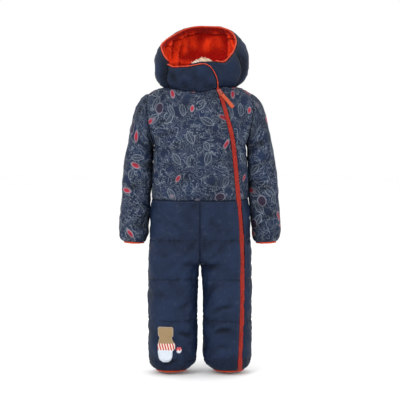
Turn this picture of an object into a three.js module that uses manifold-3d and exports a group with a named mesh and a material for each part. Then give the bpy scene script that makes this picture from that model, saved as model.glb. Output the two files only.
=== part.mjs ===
// A padded baby snowsuit, filled out as if worn: hood, printed top, plain trousers, one long front zip.
// Millimetres. Z is up, the front faces -Y, the wearer's left is +X. The origin is the middle of the neck.
import * as THREE from "three";
import { mergeVertices } from "three/addons/utils/BufferGeometryUtils.js";
import Module from "manifold-3d";

const wasm = await Module();
wasm.setup();

// Cloth
const wall = 4.5;
const seamGap = 0.3;
const trim = seamGap / 2;
const roundness = 2.35;
const quiltRise = 3;
const topRise = 2;
const liningWall = 3;
const crotchZ = -409;
const hoodRows = 8;

// Body heights
const waistZ = -254;
const armpitZ = -128;
const legEndZ = -656;
const quiltLines = [waistZ, -348, -440, -538, -630];

// Neck
const neckHalfWidth = 84;
const neckFront = 60;
const neckBack = 54;
const neckGap = 0.6;

// Armhole
const armholeHalfDepth = 44;
const yokeRows = 9;

// Zip
const zipStripSink = 0.3;
const zipStripThickness = 2.4;
const zipPlay = 0.35;

// Slider: its row on the yoke, half-widths, plate and arch; the pin's place in the arch
const slider = {
  row: 0.905,
  half: 4.8,
  foot: 3.5,
  up: 7.8,
  down: 7.6,
  low: 0.2,
  high: 1.9,
  archLow: -4.6,
  archHigh: 4.3,
  archTop: 6.9,
  pinAlong: -1.3,
  pinAway: 4.6,
};

// Pull tab: where its free end lies, and its size from the pin
const tab = {
  footX: 83,
  footRow: 0.56,
  height: 4,
  length: 45,
  width: 10,
  thick: 2,
  eye: 6.3,
  loopHalf: 4.3,
  pinHalf: 0.6,
};

// Badge
const badgeWall = 1.2;
const badgeGap = 0.6;

// Half-sections of the body: cx is the middle of the leg, half its half-width, front and back its depths.
const body = [
  { z: -656, cx: 67.5, half: 40, front: 41, back: 41 },
  { z: -649, cx: 66.8, half: 48, front: 48, back: 48 },
  { z: -640, cx: 65.6, half: 54, front: 53, back: 53 },
  { z: -628, cx: 64.6, half: 56.2, front: 55, back: 56 },
  { z: -538, cx: 64, half: 57, front: 57, back: 58 },
  { z: -440, cx: 64, half: 57.5, front: 61, back: 63 },
  { z: -422, cx: 63.3, half: 58, front: 63, back: 66 },
  { z: -409, cx: 60.2, half: 60.2, front: 65, back: 69 },
  { z: -395, cx: 42, half: 78, front: 69, back: 76 },
  { z: -375, cx: 24, half: 95, front: 74, back: 82 },
  { z: -348, cx: 8, half: 109.5, front: 79, back: 85 },
  { z: -305, cx: 0, half: 116, front: 86, back: 84 },
  { z: -254, cx: 0, half: 113, front: 88, back: 80 },
  { z: -190, cx: 0, half: 109, front: 87, back: 78 },
  { z: -128, cx: 0, half: 106, front: 83, back: 76 },
];

// Top edge of the upper body, front and back, from shoulder to shoulder.
const topEdge = [
  { x: -124, front: -10.5, back: -10.5 },
  { x: -84, front: 5, back: 5 },
  { x: -62, front: 1.5, back: 8 },
  { x: -32, front: -3, back: 11 },
  { x: 0, front: -5, back: 12 },
  { x: 22, front: -1, back: 11.5 },
  { x: 38, front: 4, back: 10.5 },
  { x: 62, front: 6.5, back: 8.5 },
  { x: 84, front: 6, back: 6 },
  { x: 124, front: -10.5, back: -10.5 },
];

// Armhole edge: half-width of the yoke at each share of its height.
const armhole = [
  { v: 0, half: 106 },
  { v: 0.07, half: 109 },
  { v: 0.27, half: 116 },
  { v: 0.52, half: 121 },
  { v: 0.74, half: 123.5 },
  { v: 0.88, half: 123 },
  { v: 1, half: 120 },
];

// The line of the zip and half its width.
const zipLine = [
  { z: -660, x: 93.6, half: 5.4 },
  { z: -592, x: 95.4, half: 5.4 },
  { z: -526, x: 98, half: 5.4 },
  { z: -460, x: 98.6, half: 5.4 },
  { z: -395, x: 98.6, half: 5.4 },
  { z: -345, x: 97, half: 5.3 },
  { z: -280, x: 92.2, half: 5.2 },
  { z: -228, x: 87.4, half: 5.1 },
  { z: -169, x: 82, half: 5 },
  { z: -136, x: 78.6, half: 4.9 },
  { z: -103, x: 73, half: 4.8 },
  { z: -81, x: 67.6, half: 4.7 },
  { z: -52, x: 59.4, half: 4.6 },
  { z: -21, x: 50.6, half: 4.4 },
  { z: 12, x: 37.4, half: 4.2 },
];

// Rings of the sleeve: its inner point, its outer point, half-depth, and the share of a plain oval.
const sleeveRings = [
  { xi: 106, zi: -128, xo: 120, zo: -9, deep: 44, oval: 0 },
  { xi: 107, zi: -128.3, xo: 130.5, zo: -15.5, deep: 44.5, oval: 0.08 },
  { xi: 107.9, zi: -128.8, xo: 140, zo: -25, deep: 44.5, oval: 0.2 },
  { xi: 108.6, zi: -129.6, xo: 148, zo: -38.5, deep: 43.5, oval: 0.36 },
  { xi: 109.1, zi: -130.6, xo: 153, zo: -56, deep: 42, oval: 0.55 },
  { xi: 109.5, zi: -132, xo: 158, zo: -80, deep: 40, oval: 0.76 },
  { xi: 109.9, zi: -135.5, xo: 164, zo: -107, deep: 38, oval: 0.92 },
  { xi: 110.2, zi: -145, xo: 170, zo: -136, deep: 36.5, oval: 1 },
  { xi: 111.4, zi: -172, xo: 176, zo: -168, deep: 35.5, oval: 1 },
  { xi: 113, zi: -207, xo: 180.5, zo: -205, deep: 35, oval: 1 },
  { xi: 116, zi: -254, xo: 183, zo: -252, deep: 33.5, oval: 1 },
  { xi: 119, zi: -294, xo: 187, zo: -292, deep: 33, oval: 1 },
  { xi: 121.2, zi: -326, xo: 189.5, zo: -323, deep: 32, oval: 1 },
  { xi: 123.6, zi: -340, xo: 189, zo: -337, deep: 31, oval: 1 },
  { xi: 127.2, zi: -348, xo: 184.5, zo: -345.5, deep: 28, oval: 1 },
  { xi: 131.2, zi: -351.5, xo: 179, zo: -349.5, deep: 25, oval: 1 },
];

// The hood by the angle round the neck from the front: its rim, and how far its wall swells out low and high.
const hood = [
  { at: 0, x: 0, y: -72, z: 64, low: 8, high: 6, rise: 0.33, drop: 0.33 },
  { at: 20, x: 28, y: -69, z: 65, low: 10, high: 8, rise: 0.33, drop: 0.33 },
  { at: 40, x: 53, y: -58, z: 63, low: 18, high: 16, rise: 0.3, drop: 0.33 },
  { at: 60, x: 73, y: -34, z: 80, low: 28, high: 26, rise: 0.27, drop: 0.33 },
  { at: 75, x: 84, y: -8, z: 97, low: 34, high: 34, rise: 0.25, drop: 0.3 },
  { at: 90, x: 89, y: 20, z: 113, low: 39, high: 34, rise: 0.24, drop: 0.28 },
  { at: 110, x: 86, y: 44, z: 128, low: 46, high: 40, rise: 0.22, drop: 0.22 },
  { at: 135, x: 70, y: 72, z: 146, low: 58, high: 50, rise: 0.2, drop: 0.12 },
  { at: 160, x: 38, y: 87, z: 154.5, low: 72, high: 74, rise: 0.18, drop: 0.03 },
  { at: 180, x: 2, y: 90, z: 155.5, low: 76, high: 80, rise: 0.17, drop: 0.02 },
  { at: 200, x: -30, y: 82, z: 150.5, low: 70, high: 68, rise: 0.18, drop: 0.03 },
  { at: 225, x: -64, y: 54, z: 133, low: 54, high: 40, rise: 0.2, drop: 0.12 },
  { at: 250, x: -87, y: 24, z: 115, low: 41, high: 20, rise: 0.22, drop: 0.22 },
  { at: 268, x: -95, y: 2, z: 101, low: 31, high: 9, rise: 0.25, drop: 0.3 },
  { at: 285, x: -89, y: -28, z: 82, low: 26, high: 9, rise: 0.27, drop: 0.33 },
  { at: 300, x: -75, y: -50, z: 66, low: 21, high: 11, rise: 0.3, drop: 0.33 },
  { at: 320, x: -56, y: -65, z: 57, low: 14, high: 10, rise: 0.33, drop: 0.33 },
  { at: 340, x: -30, y: -71, z: 58, low: 8, high: 7, rise: 0.33, drop: 0.33 },
  { at: 360, x: 0, y: -72, z: 64, low: 8, high: 6, rise: 0.33, drop: 0.33 },
];
const hoodSeams = { flapSide: -59, underEnd: -17, rightFront: 71, rightTop: 150, leftTop: 206 };

// The free end of the chin flap, by the share of the collar's height, and the same for the shin badge.
const flapEnd = [
  { v: 0, angle: 26.5 },
  { v: 0.3, angle: 24.5 },
  { v: 0.6, angle: 20 },
  { v: 0.78, angle: 15 },
  { v: 0.88, angle: 7.5 },
];
const badge = [
  { z: -633, left: -86, right: -74 },
  { z: -628, left: -92, right: -68 },
  { z: -618, left: -95, right: -64.5 },
  { z: -606, left: -96, right: -63.5 },
  { z: -600, left: -96, right: -58 },
  { z: -590, left: -95.5, right: -58 },
  { z: -584, left: -94.5, right: -62 },
  { z: -574, left: -93, right: -65 },
  { z: -570, left: -96, right: -62 },
  { z: -553, left: -96, right: -62 },
  { z: -549, left: -93, right: -65 },
];
const spot = [
  { z: -611, left: -51.5, right: -47.5 },
  { z: -608, left: -54.5, right: -44.5 },
  { z: -602, left: -55.5, right: -43.5 },
  { z: -597, left: -53.5, right: -45.5 },
];

// A smooth curve through one column of a table, level where the column turns.
function curve(table, by, column) {
  const rows = [...table].sort((p, q) => p[by] - q[by]);
  const t = rows.map((r) => r[by]);
  const y = rows.map((r) => r[column]);
  const slope = t.slice(1).map((b, i) => (y[i + 1] - y[i]) / (b - t[i]));
  const tangent = t.map((_, i) => {
    if (i === 0) return slope[0];
    if (i === t.length - 1) return slope[i - 1];
    const [p, q] = [slope[i - 1], slope[i]];
    return p * q <= 0 ? 0 : (2 * p * q) / (p + q);
  });
  return (x) => {
    if (x <= t[0]) return y[0];
    if (x >= t[t.length - 1]) return y[y.length - 1];
    const i = t.findIndex((b) => b > x) - 1;
    const h = t[i + 1] - t[i];
    const s = (x - t[i]) / h;
    const [s2, s3] = [s * s, s * s * s];
    return (
      y[i] * (2 * s3 - 3 * s2 + 1) +
      tangent[i] * h * (s3 - 2 * s2 + s) +
      y[i + 1] * (3 * s2 - 2 * s3) +
      tangent[i + 1] * h * (s3 - s2)
    );
  };
}

const V = (x, y, z) => new THREE.Vector3(x, y, z);
const clamp = (x, low, high) => Math.min(high, Math.max(low, x));
const steps = (n, from = 0, to = 1) => Array.from({ length: n + 1 }, (_, i) => from + ((to - from) * i) / n);
const ease = (x) => {
  const s = clamp(x, 0, 1);
  return s * s * (3 - 2 * s);
};

const group = new THREE.Group();
const colours = {
  plain: "#28334a",
  print: "#3a4762",
  red: "#aa322d",
  orange: "#c8462c",
  plush: "#a51a1c",
  cream: "#c9a878",
  metal: "#b0402f",
  badge: "#b08a63",
};

// One closed body from two grids of points, the outside and the inside of a wall, joined round the border.
function addWall(name, colour, outside, inside, ring = false) {
  const [rows, columns] = [outside.length, outside[0].length];
  const points = [...outside.flat(), ...inside.flat()];
  const O = (j, i) => j * columns + (i % columns);
  const I = (j, i) => rows * columns + O(j, i);
  const index = [];
  const quad = (a, b, c, d) => index.push(a, b, c, a, c, d);
  const across = ring ? columns : columns - 1;
  for (let j = 0; j < rows - 1; j++)
    for (let i = 0; i < across; i++) {
      quad(O(j, i), O(j, i + 1), O(j + 1, i + 1), O(j + 1, i));
      quad(I(j, i), I(j + 1, i), I(j + 1, i + 1), I(j, i + 1));
    }
  const top = rows - 1;
  for (let i = 0; i < across; i++) {
    quad(O(0, i + 1), O(0, i), I(0, i), I(0, i + 1));
    quad(O(top, i), O(top, i + 1), I(top, i + 1), I(top, i));
  }
  const end = columns - 1;
  for (let j = 0; j < rows - 1 && !ring; j++) {
    quad(O(j, 0), O(j + 1, 0), I(j + 1, 0), I(j, 0));
    quad(O(j + 1, end), O(j, end), I(j, end), I(j + 1, end));
  }
  addMesh(name, colour, points, index);
}

// A named mesh from points and triangles, its faces turned outward.
function addMesh(name, colour, points, index) {
  let volume = 0;
  for (let i = 0; i < index.length; i += 3) {
    const [a, b, c] = [points[index[i]], points[index[i + 1]], points[index[i + 2]]];
    volume += a.dot(b.clone().cross(c));
  }
  if (volume < 0)
    for (let i = 0; i < index.length; i += 3) [index[i], index[i + 1]] = [index[i + 1], index[i]];
  const geometry = new THREE.BufferGeometry();
  geometry.setAttribute("position", new THREE.Float32BufferAttribute(points.flatMap((p) => p.toArray()), 3));
  geometry.setIndex(index);
  geometry.computeVertexNormals();
  const mesh = new THREE.Mesh(geometry, new THREE.MeshStandardMaterial({ color: colours[colour] }));
  mesh.name = name;
  group.add(mesh);
}

// The outward normal of a surface at(row, column), away from its core.
function normalOf(at, r, c, limits, core) {
  const e = 1e-3;
  const reach = e * limits.rowSpan;
  const [r0, r1] = [clamp(r - reach, ...limits.rows), clamp(r + reach, ...limits.rows)];
  const [c0, c1] = limits.wrap ? [c - e, c + e] : [clamp(c - e, 0, 1), clamp(c + e, 0, 1)];
  const across = at(r, c1).sub(at(r, c0));
  const along = at(r1, c).sub(at(r0, c));
  const n = across.cross(along).normalize();
  const p = at(r, c);
  return n.dot(p.clone().sub(core(p))) < 0 ? n.negate() : n;
}

// A panel of cloth laid on at(row, column): lift moves it off the surface, swell raises its outside only.
function panel(name, colour, o) {
  const rows = o.rows;
  const columns = steps(o.columns);
  const span = rows[rows.length - 1] - rows[0];
  const limits = { rows: [Math.min(...rows), Math.max(...rows)], rowSpan: Math.abs(span), wrap: false };
  const outside = [];
  const inside = [];
  rows.forEach((r, j) => {
    outside.push([]);
    inside.push([]);
    columns.forEach((c, i) => {
      const p = o.at(r, c);
      const n = normalOf(o.at, r, c, limits, o.core);
      if (i === 0 && o.firstSeam) o.firstSeam(n, r);
      if (i === columns.length - 1 && o.lastSeam) o.lastSeam(n, r);
      if (j === 0 && o.lowSeam) o.lowSeam(n);
      if (j === rows.length - 1 && o.highSeam) o.highSeam(n);
      n.normalize();
      const lift = o.lift ? o.lift(r, c) : 0;
      const swell = o.swell ? o.swell(r, c, p) : 0;
      outside[j].push(p.clone().addScaledVector(n, lift + swell));
      inside[j].push(p.clone().addScaledVector(n, lift - (o.wall ?? wall)));
    });
  });
  addWall(name, colour, outside, inside);
}

// The body surface.
const ring = Object.fromEntries(["cx", "half", "front", "back"].map((k) => [k, curve(body, "z", k)]));
const edgeZ = { front: curve(topEdge, "x", "front"), back: curve(topEdge, "x", "back") };
const armholeHalf = curve(armhole, "v", "half");
const zipX = curve(zipLine, "z", "x");
const zipHalf = curve(zipLine, "z", "half");
const bulge = (s, power = 1 / roundness) => Math.max(0, 1 - Math.abs(s) ** roundness) ** power;
const way = { front: -1, back: 1 };

// A point of the trousers or lower top: side is 1 or -1, angle runs from the side seam to the inner leg.
function lowPoint(face, side, z, angle) {
  const s = Math.cos(angle);
  const y = Math.max(trim, ring[face](z) * bulge(s));
  return V(side * (ring.cx(z) + ring.half(z) * s), way[face] * y, z);
}

// The angle at which the section at height z reaches a distance x from the middle.
const angleAt = (z, x) => Math.acos(clamp((x - ring.cx(z)) / ring.half(z), -1, 1));

// A point of the yoke: v is the share of the height above the armpit, s the share of the width.
function yokePoint(face, v, s) {
  const x = s * armholeHalf(v);
  const z = armpitZ + v * (edgeZ[face](x) - armpitZ);
  const deep = face === "front" ? neckFront : neckBack;
  const neckY = Math.abs(x) < neckHalfWidth ? deep * Math.sqrt(1 - (x / neckHalfWidth) ** 2) : 0;
  const across = bulge(s, 1 / roundness + (0.8 - 1 / roundness) * ease(v / 0.45));
  const topY = neckY / Math.max(0.2, bulge(s, 0.8));
  const profile = Math.max(0, 1 - v ** 2.3) ** (1 / 2.3);
  const middle = topY + (ring[face](armpitZ) - topY) * profile;
  const armY = armholeHalfDepth * Math.max(0, Math.sin(Math.PI * v)) ** 0.6;
  return V(x, way[face] * Math.max(trim, armY + (middle - armY) * across), z);
}

// A point of the upper body: w below 0 is under the armpit, above 0 the yoke. s runs from -1 to 1 across.
function upperPoint(face, w, s) {
  if (w >= 0) return yokePoint(face, w, s);
  const z = armpitZ + w * (armpitZ - waistZ);
  return lowPoint(face, Math.sign(s) || 1, z, Math.acos(Math.abs(s)));
}

// The share of the width at which the zip's edge crosses row w, offset from the zip's middle line.
function zipShare(w, offset) {
  if (w < 0) {
    const z = armpitZ + w * (armpitZ - waistZ);
    return (zipX(z) + Math.sign(offset) * (zipHalf(z) + Math.abs(offset) - 1)) / ring.half(z);
  }
  let x = 60;
  for (let k = 0; k < 12; k++) {
    const z = armpitZ + w * (edgeZ.front(x) - armpitZ);
    x = zipX(z) + Math.sign(offset) * (zipHalf(z) + Math.abs(offset) - 1);
  }
  return x / armholeHalf(w);
}

const bodyCore = (p) => V(0, 0, Math.min(p.z, -60));
const legCore = (p) => V(Math.sign(p.x) * ring.cx(p.z), 0, p.z);
const sideSeam = (n) => (n.y = 0);
const waistSeam = (n) => (n.z = 0);
const shoulderSeam = (n) => n.set(n.x, 0, Math.max(n.z, 0.6));
const yokeHeights = steps(yokeRows).map((t) => Math.sin((t * Math.PI) / 2));
const upperRows = [...steps(6, -1, 0).slice(0, -1), ...yokeHeights];

// The swell of the padded top between its seams.
const upperSwell = (r, c) => topRise * (Math.sin(Math.PI * c) * Math.sin((Math.PI * (r + 1)) / 2)) ** 0.5;

function upperPanel(name, face, columns, from, to, firstSeam, lastSeam) {
  panel(name, "print", {
    rows: upperRows,
    columns,
    at: (w, c) => {
      const [a, b] = [Math.acos(clamp(from(w), -1, 1)), Math.acos(clamp(to(w), -1, 1))];
      return upperPoint(face, w, Math.cos(a + (b - a) * c));
    },
    core: bodyCore,
    firstSeam: (n, w) => w <= 0 && firstSeam && firstSeam(n),
    lastSeam: (n, w) => w <= 0 && lastSeam && lastSeam(n),
    lowSeam: waistSeam,
    highSeam: shoulderSeam,
    swell: upperSwell,
  });
}
upperPanel("top_front_right", "front", 14, () => -1, (w) => zipShare(w, -(1 + seamGap)), sideSeam, null);
upperPanel("top_front_left", "front", 5, (w) => zipShare(w, 1 + seamGap), () => 1, null, sideSeam);
upperPanel("top_back", "back", 16, () => -1, () => 1, sideSeam, sideSeam);

// Trousers: rows thick at the quilt lines and the crotch.
const legRows = [
  legEndZ,
  -649,
  -640,
  ...[-630, -612, -584, -556, -538],
  ...[-520, -489, -458, -440],
  ...[-424, -414, -409.4, -408, -404, -395, -380, -364, -348],
  ...[-330, -302, -274, waistZ - seamGap],
];

// The swell of the quilting between two lines, level over the padding and drawn in at the stitches.
function quilt(z, c) {
  const k = quiltLines.findIndex((line) => line <= z);
  if (k <= 0) return 0;
  const share = (z - quiltLines[k]) / (quiltLines[k - 1] - quiltLines[k]);
  const nearCrotch = Math.exp(-(((z - crotchZ) / 14) ** 2)) * ease((c - 0.55) / 0.25);
  const over = Math.sin(Math.PI * clamp(share, 0, 1)) ** 0.6 * Math.sin(Math.PI * clamp(c, 0, 1)) ** 0.35;
  return quiltRise * over * (1 - nearCrotch);
}

// The inner edge of a leg panel: the middle of the body above the crotch, the inner leg below it.
function innerAngle(z, face) {
  const flat = Math.acos((trim / ring[face](z)) ** roundness * 0.5 - 1);
  return Math.min(angleAt(z, trim), flat);
}

function legPanel(name, face, side, columns, from, to, ends) {
  panel(name, "plain", {
    rows: legRows,
    columns,
    at: (z, c) => {
      const [a, b] = [from(z), to(z)];
      return lowPoint(face, side, z, a + (b - a) * c);
    },
    core: legCore,
    firstSeam: ends.first,
    lastSeam: (n) => ends.last && (n.x = side * Math.min(0, side * n.x)),
    lowSeam: waistSeam,
    highSeam: waistSeam,
    swell: (z, c) => quilt(z, ends.first && ends.last ? c : ends.last ? 0.5 + c / 2 : c / 2),
  });
}
const toInner = (face) => (z) => innerAngle(z, face);
legPanel("leg_front_right", "front", -1, 10, () => 0, toInner("front"), { first: sideSeam, last: true });
legPanel("leg_back_right", "back", -1, 9, () => 0, toInner("back"), { first: sideSeam, last: true });
legPanel("leg_back_left", "back", 1, 9, () => 0, toInner("back"), { first: sideSeam, last: true });
const zipIn = (z) => angleAt(z, zipX(z) - zipHalf(z) - seamGap);
const zipOut = (z) => angleAt(z, zipX(z) + zipHalf(z) + seamGap);
legPanel("leg_front_left", "front", 1, 8, zipIn, toInner("front"), { last: true });
legPanel("leg_front_left_side", "front", 1, 3, () => 0, zipOut, { first: sideSeam });

// The red zip strip, let in between the two fronts from neck to hem.
const stripRows = [
  { z: legEndZ + 9 },
  ...legRows.filter((z) => z > legEndZ + 9 && z < waistZ - 1).map((z) => ({ z })),
  ...upperRows.map((w) => ({ w })),
];
panel("zip_strip", "red", {
  rows: steps(stripRows.length - 1).map((t) => t * (stripRows.length - 1)),
  columns: 2,
  at: (r, c) => {
    const blend = (row) => {
      if (row.z !== undefined) {
        const x = zipX(row.z) + (2 * c - 1) * (zipHalf(row.z) - zipPlay);
        return lowPoint("front", 1, row.z, angleAt(row.z, x));
      }
      const [low, high] = [zipShare(row.w, zipPlay - 1), zipShare(row.w, 1 - zipPlay)];
      return upperPoint("front", row.w, low + (high - low) * c);
    };
    const k = clamp(Math.floor(r), 0, stripRows.length - 2);
    return blend(stripRows[k]).lerp(blend(stripRows[k + 1]), r - k);
  },
  core: bodyCore,
  highSeam: shoulderSeam,
  lift: () => -zipStripSink,
  wall: zipStripThickness,
});

// Sleeves: the first ring is the armhole itself, the last the cuff.
const armLoop = [
  ...yokeHeights.map((v, k) => ({ v, face: "front", turn: Math.PI * (1 - k / yokeRows) })),
  ...yokeHeights
    .slice(1, -1)
    .map((v, k) => ({ v, face: "back", turn: Math.PI * (1 - (k + 1) / yokeRows) }))
    .reverse(),
];
const first = sleeveRings[0];
const chord = V(first.xo - first.xi, 0, first.zo - first.zi);
armLoop.forEach((p) => {
  const at = yokePoint(p.face, p.v, 1);
  const from = V(at.x - first.xi, 0, at.z - first.zi);
  p.out = from.dot(chord) / chord.lengthSq();
  p.off = (from.x * chord.z - from.z * chord.x) / chord.length();
  p.deep = at.y / first.deep;
  p.ovalOut = (1 + Math.cos(p.turn)) / 2;
  p.ovalDeep = way[p.face] * Math.sin(p.turn);
});
function sleevePoint(ringOf, p) {
  const mix = (a, b) => a + (b - a) * ringOf.oval;
  const inner = V(ringOf.xi, 0, ringOf.zi);
  const reach = V(ringOf.xo, 0, ringOf.zo).sub(inner);
  const square = V(reach.z, 0, -reach.x).normalize();
  const at = inner.addScaledVector(reach, mix(p.out, p.ovalOut));
  at.addScaledVector(square, p.off * (1 - ringOf.oval));
  return at.setY(ringOf.deep * mix(p.deep, p.ovalDeep));
}
function sleeve(name, side) {
  const grid = sleeveRings.map((r) => armLoop.map((p) => sleevePoint(r, p).add(V(seamGap, 0, 0))));
  const count = armLoop.length;
  const outside = [];
  const inside = [];
  grid.forEach((points, j) => {
    const middle = points.reduce((s, p) => s.add(p), V(0, 0, 0)).divideScalar(count);
    outside.push([]);
    inside.push([]);
    points.forEach((p, k) => {
      const across = points[(k + 1) % count].clone().sub(points[(k + count - 1) % count]);
      const along = grid[Math.min(j + 1, grid.length - 1)][k].clone().sub(grid[Math.max(j - 1, 0)][k]);
      const n = across.cross(along).normalize();
      if (n.dot(p.clone().sub(middle)) < 0) n.negate();
      if (j === 0) n.setX(0).normalize();
      const rise = 1.5 * Math.sin((Math.PI * j) / (grid.length - 1)) * ease(armLoop[k].ovalOut * 2);
      outside[j].push(p.clone().addScaledVector(n, rise));
      inside[j].push(p.clone().addScaledVector(n, -wall));
    });
  });
  const turned = (rows) => rows.map((row) => row.map((p) => V(p.x * side, p.y, p.z)));
  addWall(name, "print", turned(outside), turned(inside), true);
}
sleeve("sleeve_left", 1);
sleeve("sleeve_right", -1);

// A bound edge: a closed or open band with a rounded section that follows path(t), standing off along up(t).
function band(name, path, count, halfWidth, height, closed, upOf, outOf) {
  const section = steps(8).slice(0, -1).map((t) => t * 2 * Math.PI);
  const stations = steps(count).slice(0, closed ? -1 : undefined);
  const rows = stations.map((t) => {
    const p = path(t);
    const [up, out] = [upOf(t), outOf(t)];
    return section.map((a) =>
      p
        .clone()
        .addScaledVector(out, halfWidth * Math.sign(Math.cos(a)) * Math.abs(Math.cos(a)) ** 0.7)
        .addScaledVector(up, (height / 2) * (1 + Math.sign(Math.sin(a)) * Math.abs(Math.sin(a)) ** 0.7)),
    );
  });
  const points = rows.flat();
  const [n, m] = [rows.length, section.length];
  const P = (j, i) => (j % n) * m + (i % m);
  const index = [];
  for (let j = 0; j < (closed ? n : n - 1); j++)
    for (let i = 0; i < m; i++)
      index.push(P(j, i), P(j, i + 1), P(j + 1, i + 1), P(j, i), P(j + 1, i + 1), P(j + 1, i));
  for (let i = 1; i < m - 1 && !closed; i++) {
    index.push(P(0, 0), P(0, i + 1), P(0, i));
    index.push(P(n - 1, 0), P(n - 1, i), P(n - 1, i + 1));
  }
  addMesh(name, "orange", points, index);
}

// Bindings of the cuffs and of the leg ends.
[
  { name: "left", side: 1 },
  { name: "right", side: -1 },
].forEach(({ name, side }) => {
  const last = sleeveRings[sleeveRings.length - 1];
  const [inner, outer] = [V(last.xi + seamGap, 0, last.zi), V(last.xo + seamGap, 0, last.zo)];
  const along = outer.clone().sub(inner).normalize();
  const down = V(along.z, 0, -along.x).setLength(1);
  const middle = inner.clone().add(outer).divideScalar(2).addScaledVector(down, seamGap);
  const reach = inner.distanceTo(outer) / 2 - wall / 2 + 0.4;
  const flip = (p) => V(p.x * side, p.y, p.z);
  const outOf = (t) =>
    flip(along.clone().multiplyScalar(Math.cos(2 * Math.PI * t)).setY(Math.sin(2 * Math.PI * t)).normalize());
  const path = (t) =>
    flip(
      middle
        .clone()
        .addScaledVector(along, reach * Math.cos(2 * Math.PI * t))
        .setY((last.deep - wall / 2 + 0.4) * Math.sin(2 * Math.PI * t)),
    );
  band("cuff_binding_" + name, path, 20, wall / 2 + 0.5, 6.5, true, () => flip(down), outOf);
  const hem = body[0];
  const hemPath = (t) => {
    const a = 2 * Math.PI * t;
    return V(
      side * (hem.cx + (hem.half - wall / 2 + 0.4) * Math.cos(a)),
      (hem.front - wall / 2 + 0.4) * Math.sin(a),
      legEndZ - seamGap,
    );
  };
  const hemOut = (t) => V(side * Math.cos(2 * Math.PI * t), Math.sin(2 * Math.PI * t), 0);
  band("hem_binding_" + name, hemPath, 20, wall / 2 + 0.6, 6.5, true, () => V(0, 0, -1), hemOut);
});

// The hood: a swelling wall from the neck seam to the rim at each angle round the neck.
const hoodColumns = ["x", "y", "z", "low", "high", "rise", "drop"];
const hoodOf = Object.fromEntries(hoodColumns.map((k) => [k, curve(hood, "at", k)]));
const whole = (a) => ((a % 360) + 360) % 360;
function neckPoint(a) {
  const t = (a * Math.PI) / 180;
  const x = neckHalfWidth * Math.sin(t);
  const front = Math.cos(t) > 0;
  const y = -(front ? neckFront : neckBack) * Math.cos(t);
  return V(x, y, (front ? edgeZ.front(x) : edgeZ.back(x)) + neckGap);
}
function rimPoint(a) {
  const w = whole(a);
  return V(hoodOf.x(w), hoodOf.y(w), hoodOf.z(w));
}
function hoodPoint(v, a) {
  const w = whole(a);
  const t = (a * Math.PI) / 180;
  const [foot, rim] = [neckPoint(a), rimPoint(a)];
  const out = V(Math.sin(t), -Math.cos(t), 0);
  const height = rim.z - foot.z;
  const low = foot.clone().addScaledVector(out, hoodOf.low(w)).add(V(0, 0, height * hoodOf.rise(w)));
  const high = rim.clone().addScaledVector(out, hoodOf.high(w)).add(V(0, 0, -height * hoodOf.drop(w)));
  const u = 1 - v;
  return foot
    .multiplyScalar(u * u * u)
    .addScaledVector(low, 3 * u * u * v)
    .addScaledVector(high, 3 * u * v * v)
    .addScaledVector(rim, v * v * v);
}
const hoodCore = (p) => V(0, 20, Math.min(60, p.z));
function hoodPanel(name, colour, from, to, columns, o = {}) {
  const gap = (v) => (o.gap ?? 0.26) * (1 - 0.35 * v);
  panel(name, colour, {
    rows: o.rows ?? steps(hoodRows),
    columns,
    at: (v, c) => {
      const [a, b] = [from + gap(v), (o.end ? o.end(v) : to) - gap(v)];
      return hoodPoint(v, a + (b - a) * c);
    },
    core: hoodCore,
    lowSeam: (o.rows ?? [0])[0] === 0 ? waistSeam : null,
    lift: o.lift,
    swell: o.swell,
    wall: o.wall,
  });
}
const S = hoodSeams;
const hoodSwell = (v, c) => 1.2 * Math.sin(Math.PI * c) ** 0.6 * Math.sin(Math.PI * v) ** 0.6;
hoodPanel("hood_side_left", "plain", S.rightFront, S.rightTop, 7, { swell: hoodSwell });
hoodPanel("hood_centre", "plain", S.rightTop, S.leftTop, 5, { swell: hoodSwell });
hoodPanel("hood_side_right", "plain", S.leftTop, 360 + S.flapSide, 8, { swell: hoodSwell });
hoodPanel("chin_flap_under", "plain", S.underEnd, S.rightFront, 6);

// The chin flap that laps over: it starts level with the hood side and steps out over the flap below.
const flapEndAt = curve(flapEnd, "v", "angle");
const flapLift = (v, c) => (wall + 0.8) * ease((c * (flapEndAt(v) - S.flapSide) - 12) / 24);
hoodPanel("chin_flap_over", "plain", S.flapSide, 0, 9, {
  rows: steps(6, 0, 0.88),
  end: (v) => flapEndAt(v),
  lift: (v, c) => flapLift(v, c),
});

// The red plush lining of the hood, in a middle strip and two sides, and the pale one low at the back.
const liningShape = {
  rows: steps(hoodRows).slice(1),
  lift: () => -(wall + seamGap + 0.1),
  wall: liningWall,
  gap: 0.45,
};
hoodPanel("lining_side_left", "plush", S.rightFront, S.rightTop, 7, liningShape);
hoodPanel("lining_centre", "plush", S.rightTop, S.leftTop, 5, liningShape);
hoodPanel("lining_side_right", "plush", S.leftTop, 360 + S.flapSide, 8, liningShape);
hoodPanel("neck_lining", "cream", 161, 201, 5, {
  rows: steps(4, 0.1, 0.385),
  lift: () => -(wall + 2 * seamGap + liningWall + 1.2),
  wall: liningWall,
});

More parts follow.
